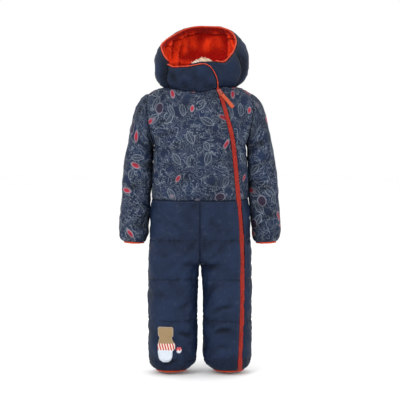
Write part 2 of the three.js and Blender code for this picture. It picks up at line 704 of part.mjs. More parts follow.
// The binding of the rim, and the one round the free edges of the chin flap.
function edgeFrame(at, v, a, e = 0.02) {
  const p = at(v, a);
  const up = p.clone().sub(at(v - e, a)).normalize();
  const along = at(v, a + 1).sub(at(v, a - 1)).normalize();
  const out = along.clone().cross(up).normalize();
  if (out.dot(p.clone().sub(hoodCore(p))) < 0) out.negate();
  return { p, up, out };
}
const rimFrom = 27;
const rimTo = 360 + S.flapSide - 2;
const rimAt = (t) => edgeFrame(hoodPoint, 1, rimFrom + (rimTo - rimFrom) * t);
const rimHalf = (wall + seamGap + liningWall) / 2;
band(
  "rim_binding",
  (t) => {
    const f = rimAt(t);
    const lined = ease((rimFrom + (rimTo - rimFrom) * t - 61) / 12);
    return f.p.addScaledVector(f.out, -wall / 2 - lined * (rimHalf - wall / 2)).addScaledVector(f.up, 1.7);
  },
  44,
  rimHalf + 0.4,
  6,
  false,
  (t) => rimAt(t).up,
  (t) => rimAt(t).out,
);

// The chin flap's binding runs along its top edge, round the corner and down its free end.
const flapTop = 0.88;
const flapCorner = 0.6;
function flapEdge(t) {
  const end = flapEndAt(flapTop);
  const along = clamp(t / flapCorner, 0, 1);
  const down = clamp((t - flapCorner) / (1 - flapCorner), 0, 1);
  const v = flapTop - (flapTop - 0.04) * down;
  const a = down > 0 ? flapEndAt(v) : S.flapSide + 2 + (end - S.flapSide - 2) * along;
  const f = edgeFrame(hoodPoint, v, a);
  const c = (a - S.flapSide) / (flapEndAt(v) - S.flapSide);
  const side = f.up.clone().cross(f.out).normalize();
  const sideways = hoodPoint(v, a + 1).sub(hoodPoint(v, a));
  if (side.dot(sideways) < 0) side.negate();
  const turn = (Math.PI / 2) * ease((t - flapCorner + 0.1) / 0.22);
  const up = f.up.multiplyScalar(Math.cos(turn)).addScaledVector(side, Math.sin(turn));
  f.p.addScaledVector(f.out, flapLift(v, c) - wall / 2 + 0.6).addScaledVector(up, 0.7);
  return { p: f.p, up, out: f.out };
}
band(
  "flap_binding",
  (t) => flapEdge(t).p,
  22,
  wall / 2 + 0.6,
  4.5,
  false,
  (t) => flapEdge(t).up,
  (t) => flapEdge(t).out,
);

// The badge on the wearer's right shin: a mitten shape, and a small red spot beside it.
function badgePiece(name, colour, table, columns) {
  const [left, right] = [curve(table, "z", "left"), curve(table, "z", "right")];
  const rows = table.map((r) => r.z).sort((p, q) => p - q);
  const angle = (z, c) => angleAt(z, -(left(z) + (right(z) - left(z)) * c));
  panel(name, colour, {
    rows,
    columns,
    at: (z, c) => lowPoint("front", -1, z, angle(z, c)),
    core: legCore,
    lift: (z, c) => quilt(z, angle(z, c) / innerAngle(z, "front")) + badgeGap + badgeWall,
    wall: badgeWall,
  });
}
badgePiece("shin_badge", "badge", badge, 5);
badgePiece("shin_spot", "red", spot, 3);

// A flat outline with rounded corners, as [x, y, radius].
function rounded(corners) {
  const shape = new THREE.Shape();
  corners.forEach(([x, y, r], i) => {
    const at = new THREE.Vector2(x, y);
    const towards = ([px, py]) => new THREE.Vector2(px, py).sub(at).setLength(r).add(at);
    const before = towards(corners[(i + corners.length - 1) % corners.length]);
    const after = towards(corners[(i + 1) % corners.length]);
    if (i === 0) shape.moveTo(before.x, before.y);
    else shape.lineTo(before.x, before.y);
    shape.quadraticCurveTo(x, y, after.x, after.y);
  });
  shape.closePath();
  return shape;
}
const rectangle = (x, y0, y1, r) =>
  rounded([
    [-x, y0, r],
    [x, y0, r],
    [x, y1, r],
    [-x, y1, r],
  ]);

// A plate of that outline from one height to another.
function plate(shape, low, high) {
  const options = { depth: high - low, bevelEnabled: false, curveSegments: 4 };
  return new THREE.ExtrudeGeometry(shape, options).translate(0, 0, low);
}

// Two closed shapes joined into one, as points and triangles.
function joined(a, b) {
  const [first, second] = [a, b].map((geometry) => {
    const bare = geometry.clone();
    bare.deleteAttribute("normal");
    bare.deleteAttribute("uv");
    const merged = mergeVertices(bare, 1e-4);
    const vertProperties = merged.attributes.position.array;
    const triVerts = new Uint32Array(merged.index.array);
    return new wasm.Manifold(new wasm.Mesh({ numProp: 3, vertProperties, triVerts }));
  });
  return first.add(second).getMesh();
}

// A joined shape set in a frame of three directions at a point.
function addJoined(name, colour, mesh, frame) {
  const points = [];
  for (let i = 0; i < mesh.numVert; i++) {
    const [x, y, z] = mesh.vertProperties.subarray(i * mesh.numProp, i * mesh.numProp + 3);
    const p = frame.at.clone().addScaledVector(frame.x, x).addScaledVector(frame.y, y);
    points.push(p.addScaledVector(frame.z, z));
  }
  addMesh(name, colour, points, [...mesh.triVerts]);
}

// The slider: x across the zip, y up along it, z away from the cloth. Its arch stands on the plate.
const zipAt = (w) => upperPoint("front", w, zipShare(w, 0));
const sliderPoint = zipAt(slider.row);
const alongZip = zipAt(slider.row + 0.03).sub(zipAt(slider.row - 0.05)).normalize();
const acrossCloth = upperPoint("front", slider.row, zipShare(slider.row, 3)).sub(
  upperPoint("front", slider.row, zipShare(slider.row, -3)),
);
const awayFromCloth = acrossCloth.clone().cross(alongZip).normalize();
const acrossZip = alongZip.clone().cross(awayFromCloth).normalize();
const sliderPlate = plate(
  rounded([
    [-slider.foot, -slider.down, 1.6],
    [slider.foot, -slider.down, 1.6],
    [slider.half, slider.up, 2],
    [-slider.half, slider.up, 2],
  ]),
  slider.low,
  slider.high,
);
const archShape = rounded([
  [slider.archLow, slider.high - 0.3, 0.05],
  [slider.archLow + 1.1, slider.high - 0.3, 0.05],
  [slider.archLow + 1.2, slider.archTop - 1, 0.7],
  [slider.archHigh - 1.2, slider.archTop - 1, 0.7],
  [slider.archHigh - 1.1, slider.high - 0.3, 0.05],
  [slider.archHigh, slider.high - 0.3, 0.05],
  [slider.archHigh - 0.4, slider.archTop, 1.4],
  [slider.archLow + 0.4, slider.archTop, 1.4],
]);
const arch = plate(archShape, -1.1, 1.1).applyMatrix4(
  new THREE.Matrix4().makeBasis(V(0, 1, 0), V(0, 0, 1), V(1, 0, 0)),
);
addJoined("zip_slider", "metal", joined(sliderPlate, arch), {
  at: sliderPoint,
  x: acrossZip,
  y: alongZip,
  z: awayFromCloth,
});

// The pull tab: x along its pin, y from the pin to its free end, z away from the cloth.
const pin = sliderPoint
  .clone()
  .addScaledVector(alongZip, slider.pinAlong)
  .addScaledVector(awayFromCloth, slider.pinAway);
const tabShare = tab.footX / armholeHalf(tab.footRow);
const yokeLimits = { rows: [-1, 1], rowSpan: 2, wrap: false };
const yokeAt = (w, c) => upperPoint("front", w, 2 * c - 1);
const footNormal = normalOf(yokeAt, tab.footRow, (tabShare + 1) / 2, yokeLimits, bodyCore);
const tabEnd = upperPoint("front", tab.footRow, tabShare).addScaledVector(footNormal, tab.height);
const tabAlong = tabEnd.clone().sub(pin).normalize();
const pinAxis = tabAlong.clone().cross(awayFromCloth).normalize();
const tabUp = pinAxis.clone().cross(tabAlong).normalize();
const grip = plate(rectangle(tab.width / 2, tab.eye, tab.length, 2.4), -tab.thick / 2, tab.thick / 2);
const loop = rectangle(tab.loopHalf, -tab.pinHalf, tab.eye + 2.5, 0.3);
loop.holes.push(rectangle(tab.loopHalf - 1.2, tab.pinHalf, tab.eye + 0.3, 0.4));
const loopPlate = plate(loop, -tab.pinHalf, tab.pinHalf);
addJoined("pull_tab", "orange", joined(grip, loopPlate), { at: pin, x: pinAxis, y: tabAlong, z: tabUp });
const places = { pin, pinAxis, tabAlong, tabUp, sliderPoint, tabEnd };
group.userData = Object.fromEntries(Object.entries(places).map(([k, p]) => [k, p.toArray()]));

group.updateMatrixWorld(true);
export default group;
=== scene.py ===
"""A padded baby snowsuit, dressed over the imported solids: quilted shell, plush lining, zip and bindings."""

import logging
import math
from dataclasses import dataclass, field
from enum import Enum
from typing import Callable, Sequence

import bpy
import numpy as np
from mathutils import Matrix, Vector

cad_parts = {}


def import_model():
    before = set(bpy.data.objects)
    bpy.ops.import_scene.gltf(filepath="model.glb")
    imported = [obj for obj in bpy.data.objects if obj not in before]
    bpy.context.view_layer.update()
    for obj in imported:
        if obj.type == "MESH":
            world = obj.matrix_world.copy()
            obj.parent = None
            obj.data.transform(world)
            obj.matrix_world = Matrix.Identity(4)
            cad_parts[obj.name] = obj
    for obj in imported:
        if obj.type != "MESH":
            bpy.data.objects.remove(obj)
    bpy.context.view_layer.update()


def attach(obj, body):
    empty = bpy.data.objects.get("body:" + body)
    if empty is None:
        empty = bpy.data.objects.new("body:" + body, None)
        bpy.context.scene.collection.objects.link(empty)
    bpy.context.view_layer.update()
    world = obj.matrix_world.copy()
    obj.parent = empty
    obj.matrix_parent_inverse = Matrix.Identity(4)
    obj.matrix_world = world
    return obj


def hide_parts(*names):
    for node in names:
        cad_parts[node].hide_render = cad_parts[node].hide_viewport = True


LOG = logging.getLogger("snowsuit")
Array = np.ndarray
Socket = bpy.types.NodeSocket
Piece = bpy.types.Object
Seeds = dict[str, int]

# One millimetre in metres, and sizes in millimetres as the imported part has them
MM = 0.001
WALL = 4.5
SEAM_GAP = 0.05
CUFF_DROP = 5.0
SEAM_TURN = 6.0
ROUNDNESS = 2.35
LINING_WALL = 3.0
WAIST_Z = -254.0
ARMPIT_Z = -128.0
CROTCH_Z = -409.0
LEG_END_Z = -656.0
# Heights of the quilting lines, from the waist down
QUILT_LINES = (WAIST_Z, -348.0, -440.0, -538.0, -630.0)
NECK_HALF_WIDTH = 84.0
NECK_FRONT = 60.0
NECK_BACK = 54.0
ARMHOLE_HALF_DEPTH = 44.0
STITCH_INSET = 4.2
STITCH_RISE = 0.05
FLOOR_Z = -667.0
FLOOR_HALF = 9000.0
GARMENT = "garment"
TAB_BODY = "pull_tab_body"


class Face(Enum):
    """Which side of the body a piece lies on, and which way its depth runs."""

    FRONT = -1.0
    BACK = 1.0


# Body: height, middle of a leg, its half-width, depth in front, depth behind
BODY_ROWS = (
    (-656, 67.5, 40, 41, 41), (-649, 66.8, 48, 48, 48), (-640, 65.6, 54, 53, 53),
    (-628, 64.6, 56.2, 55, 56), (-538, 64, 57, 57, 58), (-440, 64, 57.5, 61, 63),
    (-422, 63.3, 58, 63, 66), (-409, 60.2, 60.2, 65, 69), (-395, 42, 78, 69, 76),
    (-375, 24, 95, 74, 82), (-348, 8, 109.5, 79, 85), (-305, 0, 116, 86, 84),
    (-254, 0, 113, 88, 80), (-190, 0, 109, 87, 78), (-128, 0, 106, 83, 76),
)
# Neck and shoulders: distance from the middle, height in front, height behind
TOP_EDGE_ROWS = (
    (-124, -10.5, -10.5), (-84, 5, 5), (-62, 1.5, 8), (-32, -3, 11), (0, -5, 12), (22, -1, 11.5),
    (38, 4, 10.5), (62, 6.5, 8.5), (84, 6, 6), (124, -10.5, -10.5),
)
# Armhole: share of its height, distance from the middle
ARMHOLE_ROWS = ((0, 106), (0.07, 109), (0.27, 116), (0.52, 121), (0.74, 123.5), (0.88, 123), (1, 120))
# Zip: height, distance from the middle, half-width
ZIP_ROWS = (
    (-660, 93.6, 5.4), (-592, 95.4, 5.4), (-526, 98, 5.4), (-460, 98.6, 5.4), (-395, 98.6, 5.4),
    (-345, 97, 5.3), (-280, 92.2, 5.2), (-228, 87.4, 5.1), (-169, 82, 5), (-136, 78.6, 4.9),
    (-103, 73, 4.8), (-81, 67.6, 4.7), (-52, 59.4, 4.6), (-21, 50.6, 4.4), (12, 37.4, 4.2),
)
# Sleeve rings: inner x and z, outer x and z, half-depth, share of an oval in the section
SLEEVE_ROWS = (
    (106, -128, 120, -9, 44, 0), (107, -128.3, 130.5, -15.5, 44.5, 0.08),
    (107.9, -128.8, 140, -25, 44.5, 0.2), (108.6, -129.6, 148, -38.5, 43.5, 0.36),
    (109.1, -130.6, 153, -56, 42, 0.55), (109.5, -132, 158, -80, 40, 0.76),
    (109.9, -135.5, 164, -107, 38, 0.92), (110.2, -145, 170, -136, 36.5, 1),
    (111.4, -172, 176, -168, 35.5, 1), (113, -207, 180.5, -205, 35, 1),
    (116, -254, 183, -252, 33.5, 1), (119, -294, 187, -292, 33, 1),
    (121.2, -326, 189.5, -323, 32, 1), (123.6, -340, 189, -337, 31, 1),
    (127.2, -348, 184.5, -345.5, 28, 1), (131.2, -351.5, 179, -349.5, 25, 1),
)
# Hood: angle, rim x, y and z, bulge low and high, share of the height that each reaches
HOOD_ROWS = (
    (0, 0, -72, 64, 8, 6, 0.33, 0.33), (20, 28, -69, 65, 10, 8, 0.33, 0.33),
    (40, 53, -58, 63, 18, 16, 0.3, 0.33), (60, 73, -34, 80, 28, 26, 0.27, 0.33),
    (75, 84, -8, 97, 34, 34, 0.25, 0.3), (90, 89, 20, 113, 39, 34, 0.24, 0.28),
    (110, 86, 44, 128, 46, 40, 0.22, 0.22), (135, 70, 72, 146, 58, 50, 0.2, 0.12),
    (160, 38, 87, 154.5, 72, 74, 0.18, 0.03), (180, 2, 90, 155.5, 76, 80, 0.17, 0.02),
    (200, -30, 82, 150.5, 70, 68, 0.18, 0.03), (225, -64, 54, 133, 54, 40, 0.2, 0.12),
    (250, -87, 24, 115, 41, 20, 0.22, 0.22), (268, -95, 2, 101, 31, 9, 0.25, 0.3),
    (285, -89, -28, 82, 26, 9, 0.27, 0.33), (300, -75, -50, 66, 21, 11, 0.3, 0.33),
    (320, -56, -65, 57, 14, 10, 0.33, 0.33), (340, -30, -71, 58, 8, 7, 0.33, 0.33),
    (360, 0, -72, 64, 8, 6, 0.33, 0.33),
)
# Angles of the hood's seams, round the neck from the front, in degrees
FLAP_SIDE = -59.0
UNDER_END = -17.0
RIGHT_FRONT = 71.0
RIGHT_TOP = 150.0
LEFT_TOP = 206.0
# Upper flap's free end: share of the height, angle
FLAP_END_ROWS = ((0, 26.5), (0.3, 24.5), (0.6, 20), (0.78, 15), (0.88, 7.5))
# Lining folds: angle, width, depth, lean, lowest and highest share of the height
LINING_FOLDS = (
    (84, 5, 6.8, 8, 0.16, 0.98), (97, 4, 8.5, -9, 0.2, 0.78), (108, 5, 7.6, 10, 0.14, 0.99),
    (121, 4, 10.2, -8, 0.2, 0.8), (133, 6, 9.3, 12, 0.3, 0.99), (146, 4, 6.0, -10, 0.35, 0.79),
    (160, 6, 5.1, 9, 0.45, 0.99), (174, 5, 6.8, -12, 0.42, 0.78), (187, 6, 5.4, 14, 0.45, 0.99),
    (198, 4, 8.5, 8, 0.4, 0.8), (211, 6, 11.0, -12, 0.16, 0.99), (224, 4, 8.5, 10, 0.2, 0.79),
    (236, 5, 10.2, -8, 0.14, 0.99), (250, 5, 9.3, 12, 0.18, 0.8), (263, 4, 7.6, -9, 0.2, 0.99),
    (277, 5, 8.5, 8, 0.15, 0.78), (290, 4, 6.0, -6, 0.2, 0.95),
)
# Mitten: height, left edge, right edge
BADGE_ROWS = (
    (-633, -86, -74), (-628, -92, -68), (-618, -95, -64.5), (-606, -96, -63.5), (-600, -96, -58),
    (-590, -95.5, -58), (-584, -94.5, -62), (-574, -93, -65), (-570, -96, -62), (-553, -96, -62),
    (-549, -93, -65),
)
# Spot: height, left edge, right edge
SPOT_ROWS = ((-611, -51.5, -47.5), (-608, -54.5, -44.5), (-602, -55.5, -43.5), (-597, -53.5, -45.5))


class Curve:
    """A smooth curve through one column of a table, level where the column turns."""

    def __init__(self, rows: Sequence[Sequence[float]], column: int) -> None:
        """Keeps one column against the first.

        Args:
            rows: The table, with the position in the first column.
            column: The number of the column that the curve follows.
        """
        ordered = np.array(sorted(rows), float)
        self.at = ordered[:, 0]
        self.value = ordered[:, column]
        slope = np.diff(self.value) / np.diff(self.at)
        before, after = slope[:-1], slope[1:]
        total = np.where(before * after > 0, before + after, 1.0)
        middle = np.where(before * after > 0, 2 * before * after / total, 0.0)
        self.tangent = np.concatenate([slope[:1], middle, slope[-1:]])

    def __call__(self, x: Array) -> Array:
        """Returns the curve's value at x, held level past its ends."""
        x = np.clip(np.asarray(x, float), self.at[0], self.at[-1])
        i = np.clip(np.searchsorted(self.at, x, side="right") - 1, 0, len(self.at) - 2)
        h = self.at[i + 1] - self.at[i]
        s = (x - self.at[i]) / h
        s2, s3 = s * s, s * s * s
        start = self.value[i] * (2 * s3 - 3 * s2 + 1) + self.tangent[i] * h * (s3 - 2 * s2 + s)
        return start + self.value[i + 1] * (3 * s2 - 2 * s3) + self.tangent[i + 1] * h * (s3 - s2)


def ease(x: Array) -> Array:
    """Returns a smooth step from 0 to 1 as x goes from 0 to 1."""
    s = np.clip(x, 0.0, 1.0)
    return s * s * (3 - 2 * s)


def unit(v: Array) -> Array:
    """Returns vectors of length 1 along the last axis."""
    return v / np.maximum(np.linalg.norm(v, axis=-1, keepdims=True), 1e-12)


def soft(away: Array, width: float | Array) -> Array:
    """Returns 1 at a distance of 0, falling softly to nothing past a width."""
    return np.exp(-((away / width) ** 2))


def turned_to(n: Array, ahead: Array) -> Array:
    """Returns directions, each turned round where it points against the way ahead."""
    return n * np.where((n * ahead).sum(-1, keepdims=True) < 0, -1.0, 1.0)


def stack(x: Array, y: Array, z: Array) -> Array:
    """Returns points from three arrays of coordinates that broadcast together."""
    return np.stack(np.broadcast_arrays(x, y, z), axis=-1).astype(float)


def bulge(s: Array, power: float | Array = 1 / ROUNDNESS) -> Array:
    """Returns the height of a rounded section at the share s of its half-width."""
    return np.maximum(0.0, 1 - np.abs(s) ** ROUNDNESS) ** power


class BodyForm:
    """The surface of the body, from the leg ends to the shoulders, in millimetres."""

    def __init__(self) -> None:
        """Builds the curves of the body's tables."""
        self.cx, self.half, self.front, self.back = (Curve(BODY_ROWS, k) for k in (1, 2, 3, 4))
        self.edge = {Face.FRONT: Curve(TOP_EDGE_ROWS, 1), Face.BACK: Curve(TOP_EDGE_ROWS, 2)}
        self.armhole_half = Curve(ARMHOLE_ROWS, 1)
        self.zip_x = Curve(ZIP_ROWS, 1)
        self.zip_half = Curve(ZIP_ROWS, 2)

    def depth(self, face: Face, z: Array) -> Array:
        """Returns the depth of the body at height z."""
        return self.front(z) if face is Face.FRONT else self.back(z)

    def low(self, face: Face, side: float, z: Array, angle: Array) -> Array:
        """Returns points of the trousers or lower top.

        Args:
            face: The side of the body.
            side: 1 for the wearer's left, -1 for the right.
            z: Heights.
            angle: Angles from the side seam to the inner leg.

        Returns:
            Points, one row of three numbers each.
        """
        s = np.cos(angle)
        y = face.value * self.depth(face, z) * bulge(s)
        return stack(side * (self.cx(z) + self.half(z) * s), y, z)

    def angle_at(self, z: Array, x: Array) -> Array:
        """Returns the angle at which the section at height z reaches the distance x."""
        return np.arccos(np.clip((x - self.cx(z)) / self.half(z), -1, 1))

    def inner_angle(self, z: Array) -> Array:
        """Returns the angle of a leg panel's inner edge at height z."""
        return self.angle_at(z, 0.0)

    def yoke(self, face: Face, v: Array, s: Array) -> Array:
        """Returns points above the armpit.

        Args:
            face: The side of the body.
            v: Share of the height above the armpit.
            s: Share of the half-width, from -1 to 1.

        Returns:
            Points, one row of three numbers each.
        """
        v, s = np.broadcast_arrays(np.asarray(v, float), np.asarray(s, float))
        x = s * self.armhole_half(v)
        z = ARMPIT_Z + v * (self.edge[face](x) - ARMPIT_Z)
        deep = NECK_FRONT if face is Face.FRONT else NECK_BACK
        neck_y = deep * np.sqrt(np.maximum(0.0, 1 - (x / NECK_HALF_WIDTH) ** 2))
        across = bulge(s, 1 / ROUNDNESS + (0.8 - 1 / ROUNDNESS) * ease(v / 0.45))
        top_y = neck_y / np.maximum(0.2, bulge(s, 0.8))
        profile = np.maximum(0.0, 1 - v**2.3) ** (1 / 2.3)
        middle = top_y + (self.depth(face, ARMPIT_Z) - top_y) * profile
        arm_y = ARMHOLE_HALF_DEPTH * np.maximum(0.0, np.sin(np.pi * v)) ** 0.6
        return stack(x, face.value * (arm_y + (middle - arm_y) * across), z)

    def upper(self, face: Face, w: Array, s: Array) -> Array:
        """Returns points of the top: w below 0 is under the armpit, above 0 the yoke."""
        w, s = np.broadcast_arrays(np.asarray(w, float), np.asarray(s, float))
        z = ARMPIT_Z + w * (ARMPIT_Z - WAIST_Z)
        below = self.low(face, 1.0, z, np.arccos(np.clip(np.abs(s), 0, 1)))
        below[..., 0] *= np.where(s < 0, -1.0, 1.0)
        return np.where((w >= 0)[..., None], self.yoke(face, np.maximum(w, 0), s), below)

    def zip_share(self, w: Array, offset: float) -> Array:
        """Returns the share of the width at which a line beside the zip crosses row w."""
        w = np.asarray(w, float)
        sign = np.sign(offset)
        z = ARMPIT_Z + w * (ARMPIT_Z - WAIST_Z)
        below = (self.zip_x(z) + sign * (self.zip_half(z) + abs(offset) - 1)) / self.half(z)
        x = np.full(w.shape, 60.0)
        for _ in range(12):
            height = ARMPIT_Z + w * (self.edge[Face.FRONT](x) - ARMPIT_Z)
            x = self.zip_x(height) + sign * (self.zip_half(height) + abs(offset) - 1)
        return np.where(w < 0, below, x / self.armhole_half(np.maximum(w, 0)))


class HoodForm:
    """The surface of the hood and collar, by the share of the height and the angle round the neck."""

    def __init__(self, body: BodyForm) -> None:
        """Builds the hood's curves on the body's neck edge."""
        self.body = body
        self.x, self.y, self.z, self.low, self.high, self.rise, self.drop = (
            Curve(HOOD_ROWS, k) for k in range(1, 8)
        )
        self.flap_end = Curve(FLAP_END_ROWS, 1)

    def point(self, v: Array, a: Array) -> Array:
        """Returns points of the hood.

        Args:
            v: Share of the way from the neck seam to the rim.
            a: Angle round the neck from the front, in degrees.

        Returns:
            Points, one row of three numbers each.
        """
        v, a = np.broadcast_arrays(np.asarray(v, float), np.asarray(a, float))
        w = np.mod(a, 360)
        t = np.radians(a)
        x = NECK_HALF_WIDTH * np.sin(t)
        is_front = np.cos(t) > 0
        y = -np.where(is_front, NECK_FRONT, NECK_BACK) * np.cos(t)
        edge = np.where(is_front, self.body.edge[Face.FRONT](x), self.body.edge[Face.BACK](x))
        foot = stack(x, y, edge - 0.7)
        rim = stack(self.x(w), self.y(w), self.z(w))
        out = stack(np.sin(t), -np.cos(t), 0 * t)
        up = stack(0 * t, 0 * t, 1 + 0 * t)
        height = (rim[..., 2] - foot[..., 2])[..., None]
        low = foot + out * self.low(w)[..., None] + up * height * self.rise(w)[..., None]
        high = rim + out * self.high(w)[..., None] - up * height * self.drop(w)[..., None]
        v = v[..., None]
        u = 1 - v
        return foot * u**3 + low * 3 * u * u * v + high * 3 * u * v * v + rim * v**3

    def flap_lift(self, v: Array, c: Array) -> Array:
        """Returns how far the upper chin flap stands off the collar at share c of its length."""
        return (WALL + 0.8) * ease((c * (self.flap_end(v) - FLAP_SIDE) - 12) / 24)

    def hollow(self, v: Array, a: Array) -> Array:
        """Returns how deep the hood is drawn in beside the chin flaps, in millimetres, below zero."""
        room = np.sin(np.pi * np.clip(v, 0, 1)) ** 0.6
        total = np.zeros(np.broadcast(v, a).shape)
        for seam, side, depth in ((360 + FLAP_SIDE, -1, 9.5), (RIGHT_FRONT, 1, 9.5)):
            away = np.mod((a - seam) * side + 180, 360) - 180
            width = np.where(away > 0, 8.0, 5.0)
            total = total - depth * room * soft(away, width)
        return total

    def fold(self, v: Array, a: Array) -> Array:
        """Returns how far the lining hangs away from the shell in soft folds, in millimetres."""
        w = np.mod(a, 360)
        total = np.zeros(np.broadcast(v, w).shape)
        for at, width, depth, lean, low, high in LINING_FOLDS:
            across = (w - at - lean * (v - 0.5)) / width
            total = total + depth * soft(across, 1) * ease((v - low) / 0.14) * ease((high - v) / 0.14)
        roll = ease((w - 168) / 24) * ease((266 - w) / 20) * soft(v - 0.3 - 0.0016 * (w - 168), 0.05)
        total = total + 7.0 * roll
        facing = 0.8 + 0.012 * np.sin(w / 9.0)
        swell = 2.2 * ease((v - 0.3) / 0.2) * ease((1.0 - v) / 0.08)
        return (total + swell) * (1 - 0.85 * soft(v - facing, 0.022))


BODY = BodyForm()
HOOD = HoodForm(BODY)


@dataclass(frozen=True)
class Crease:
    """A fold between two points seen from the front, drawn in (or raised) between soft flanks."""

    x0: float
    z0: float
    x1: float
    z1: float
    depth: float
    width: float
    bow: float = 0.0

    def height(self, points: Array) -> Array:
        """Returns the crease's height in millimetres at each point."""
        run = np.array([self.x1 - self.x0, self.z1 - self.z0])
        length = float(np.hypot(*run))
        ahead = run / length
        dx, dz = points[..., 0] - self.x0, points[..., 2] - self.z0
        t = np.clip((dx * ahead[0] + dz * ahead[1]) / length, 0, 1)
        past = dx * ahead[0] + dz * ahead[1] - t * length
        off = dz * ahead[0] - dx * ahead[1] - self.bow * 4 * t * (1 - t)
        d = np.hypot(off, past)
        fade = np.sin(np.pi * np.clip(0.06 + 0.88 * t, 0, 1)) ** 0.8
        core = soft(d, self.width)
        flank = soft(d - 2.1 * self.width, 1.15 * self.width)
        return -self.depth * fade * (core - 0.38 * flank)


@dataclass(frozen=True)
class Puckers:
    """Short gathers that run in from a seam, uneven in length, depth and spacing."""

    seed: int
    spacing: float = 11.0
    reach: float = 15.0
    depth: float = 0.9
    width: float = 2.3

    def height(self, along: Array, away: Array) -> Array:
        """Returns the height of the gathers.

        Args:
            along: Distance along the seam in millimetres.
            away: Distance from the seam in millimetres.

        Returns:
            Heights in millimetres, drawn in between raised flanks.
        """
        rng = np.random.default_rng(self.seed)
        low, high = float(along.min()) - 10, float(along.max()) + 10
        total = np.zeros(np.broadcast(along, away).shape)
        at = low
        while at < high:
            at += self.spacing * rng.uniform(0.45, 1.6)
            reach = self.reach * rng.uniform(0.4, 1.5)
            depth = self.depth * rng.uniform(0.25, 1.25)
            width = self.width * rng.uniform(0.7, 1.5)
            slant = rng.normal(0, 0.3)
            curl = rng.normal(0, 0.008)
            near = (np.abs(along - at) < 30) & (away < 2.6 * reach)
            if not near.any():
                continue
            off = along[near] - at - slant * away[near] - curl * away[near] ** 2
            spread = width * (1 + 0.5 * away[near] / reach)
            fall = soft(away[near], reach) * (1 - 0.5 * soft(away[near], 2.5))
            core = soft(off, spread)
            flank = soft(np.abs(off) - 1.9 * spread, 1.1 * spread)
            total[near] -= depth * fall * (core - 0.42 * flank)
        return total


def rolling(points: Array, seed: int, size: float, count: int = 14) -> Array:
    """Returns a soft uneven wave over the cloth.

    Args:
        points: Points in millimetres.
        seed: Seed of the waves.
        size: Typical length of a wave in millimetres.
        count: How many waves are added up.

    Returns:
        Heights of about -1 to 1.
    """
    rng = np.random.default_rng(seed)
    total = np.zeros(points.shape[:-1])
    for _ in range(count):
        way = unit(rng.normal(size=3))
        pitch = 2 * np.pi / (size * rng.uniform(0.6, 1.9))
        total += np.sin(points @ way * pitch + rng.uniform(0, 2 * np.pi)) * rng.uniform(0.5, 1)
    return total / math.sqrt(count * 0.3)


def uneven(points: Array, seed: int, broad: tuple[float, float], fine: tuple[float, float]) -> Array:
    """Returns an uneven fill of broad and fine waves, each given by its height and its size."""
    return broad[0] * rolling(points, seed, broad[1]) + fine[0] * rolling(points, seed + 1, fine[1])


@dataclass
class Grid:
    """A panel's points, outward directions, row and column values, and distances from each edge in mm."""

    p: Array
    n: Array
    r: Array
    c: Array
    from_first: Array
    from_last: Array
    from_low: Array
    from_high: Array

    def edge(self) -> Array:
        """Returns the distance from the nearest edge."""
        return np.minimum(self.sides(), self.ends())

    def sides(self) -> Array:
        """Returns the distance from the nearer of the first and last columns."""
        return np.minimum(self.from_first, self.from_last)

    def ends(self) -> Array:
        """Returns the distance from the nearer of the low and high rows."""
        return np.minimum(self.from_low, self.from_high)

    def away(self, edge: str) -> Array:
        """Returns the distance from one edge: first, last, low or high."""
        return getattr(self, "from_" + edge)

    def raised(self, height: Array) -> Array:
        """Returns the points moved outward by a height."""
        return self.p + self.n * height[..., None]


def distances(p: Array, axis: int) -> Array:
    """Returns the distance walked from the first row or column of a grid."""
    walked = np.cumsum(np.linalg.norm(np.diff(p, axis=axis), axis=-1), axis=axis)
    first = np.zeros_like(np.take(walked, [0], axis=axis))
    return np.concatenate([first, walked], axis=axis)


def graded(low: float, high: float, step: float, lines: Sequence[float] = ()) -> Array:
    """Returns rows from low to high, closer together beside each line.

    Args:
        low: First row.
        high: Last row.
        step: Usual distance between rows.
        lines: Where a sewn line needs closer rows.

    Returns:
        The rows in order.
    """
    rows = list(np.linspace(low, high, max(2, int(abs(high - low) / step) + 1)))
    for line in lines:
        rows += [line + d for d in (-7.5, -5.4, -3.8, -2.5, -1.5, -0.7, 0, 0.7, 1.5, 2.5, 3.8, 5.4, 7.5)]
    rows = sorted(r for r in rows if low <= r <= high)
    kept = [rows[0]]
    for r in rows[1:]:
        if r - kept[-1] > step * 0.22:
            kept.append(r)
    kept[-1] = high
    return np.array(kept)


def lay_out(
    at: Callable[[Array, Array], Array],
    rows: Array,
    columns: Array,
    core: Callable[[Array], Array],
    seams: dict[str, Callable[[Array, Array], Array]] | None = None,
) -> Grid:
    """Lays a grid on a surface and finds its outward directions.

    Args:
        at: The surface, a point for each row and column.
        rows: The row values.
        columns: The column values, from 0 to 1.
        core: The middle of the body near a point, from which outward is judged.
        seams: For an edge (first, last, low, high), how its outward directions are set.

    Returns:
        The grid.
    """
    r, c = np.meshgrid(rows, columns, indexing="ij")
    p = at(r, c)
    e = 1e-3
    span = abs(rows[-1] - rows[0]) * e
    r0, r1 = np.clip(r - span, min(rows), max(rows)), np.clip(r + span, min(rows), max(rows))
    c0, c1 = np.clip(c - e, 0, 1), np.clip(c + e, 0, 1)
    n = unit(np.cross(at(r, c1) - at(r, c0), at(r1, c) - at(r0, c)))
    n = turned_to(n, p - core(p))
    across, up = distances(p, 1), distances(p, 0)
    grid = Grid(p, n, r, c, across, across[:, -1:] - across, up, up[-1:] - up)
    for edge, turn in (seams or {}).items():
        weight = soft(grid.away(edge), 7.0)[..., None]
        grid.n = unit(grid.n + (unit(turn(grid.n, r)) - grid.n) * weight)
    return grid


def side_seam(n: Array, r: Array) -> Array:
    """Returns directions turned level with a side seam."""
    return n * [1, 0, 1]


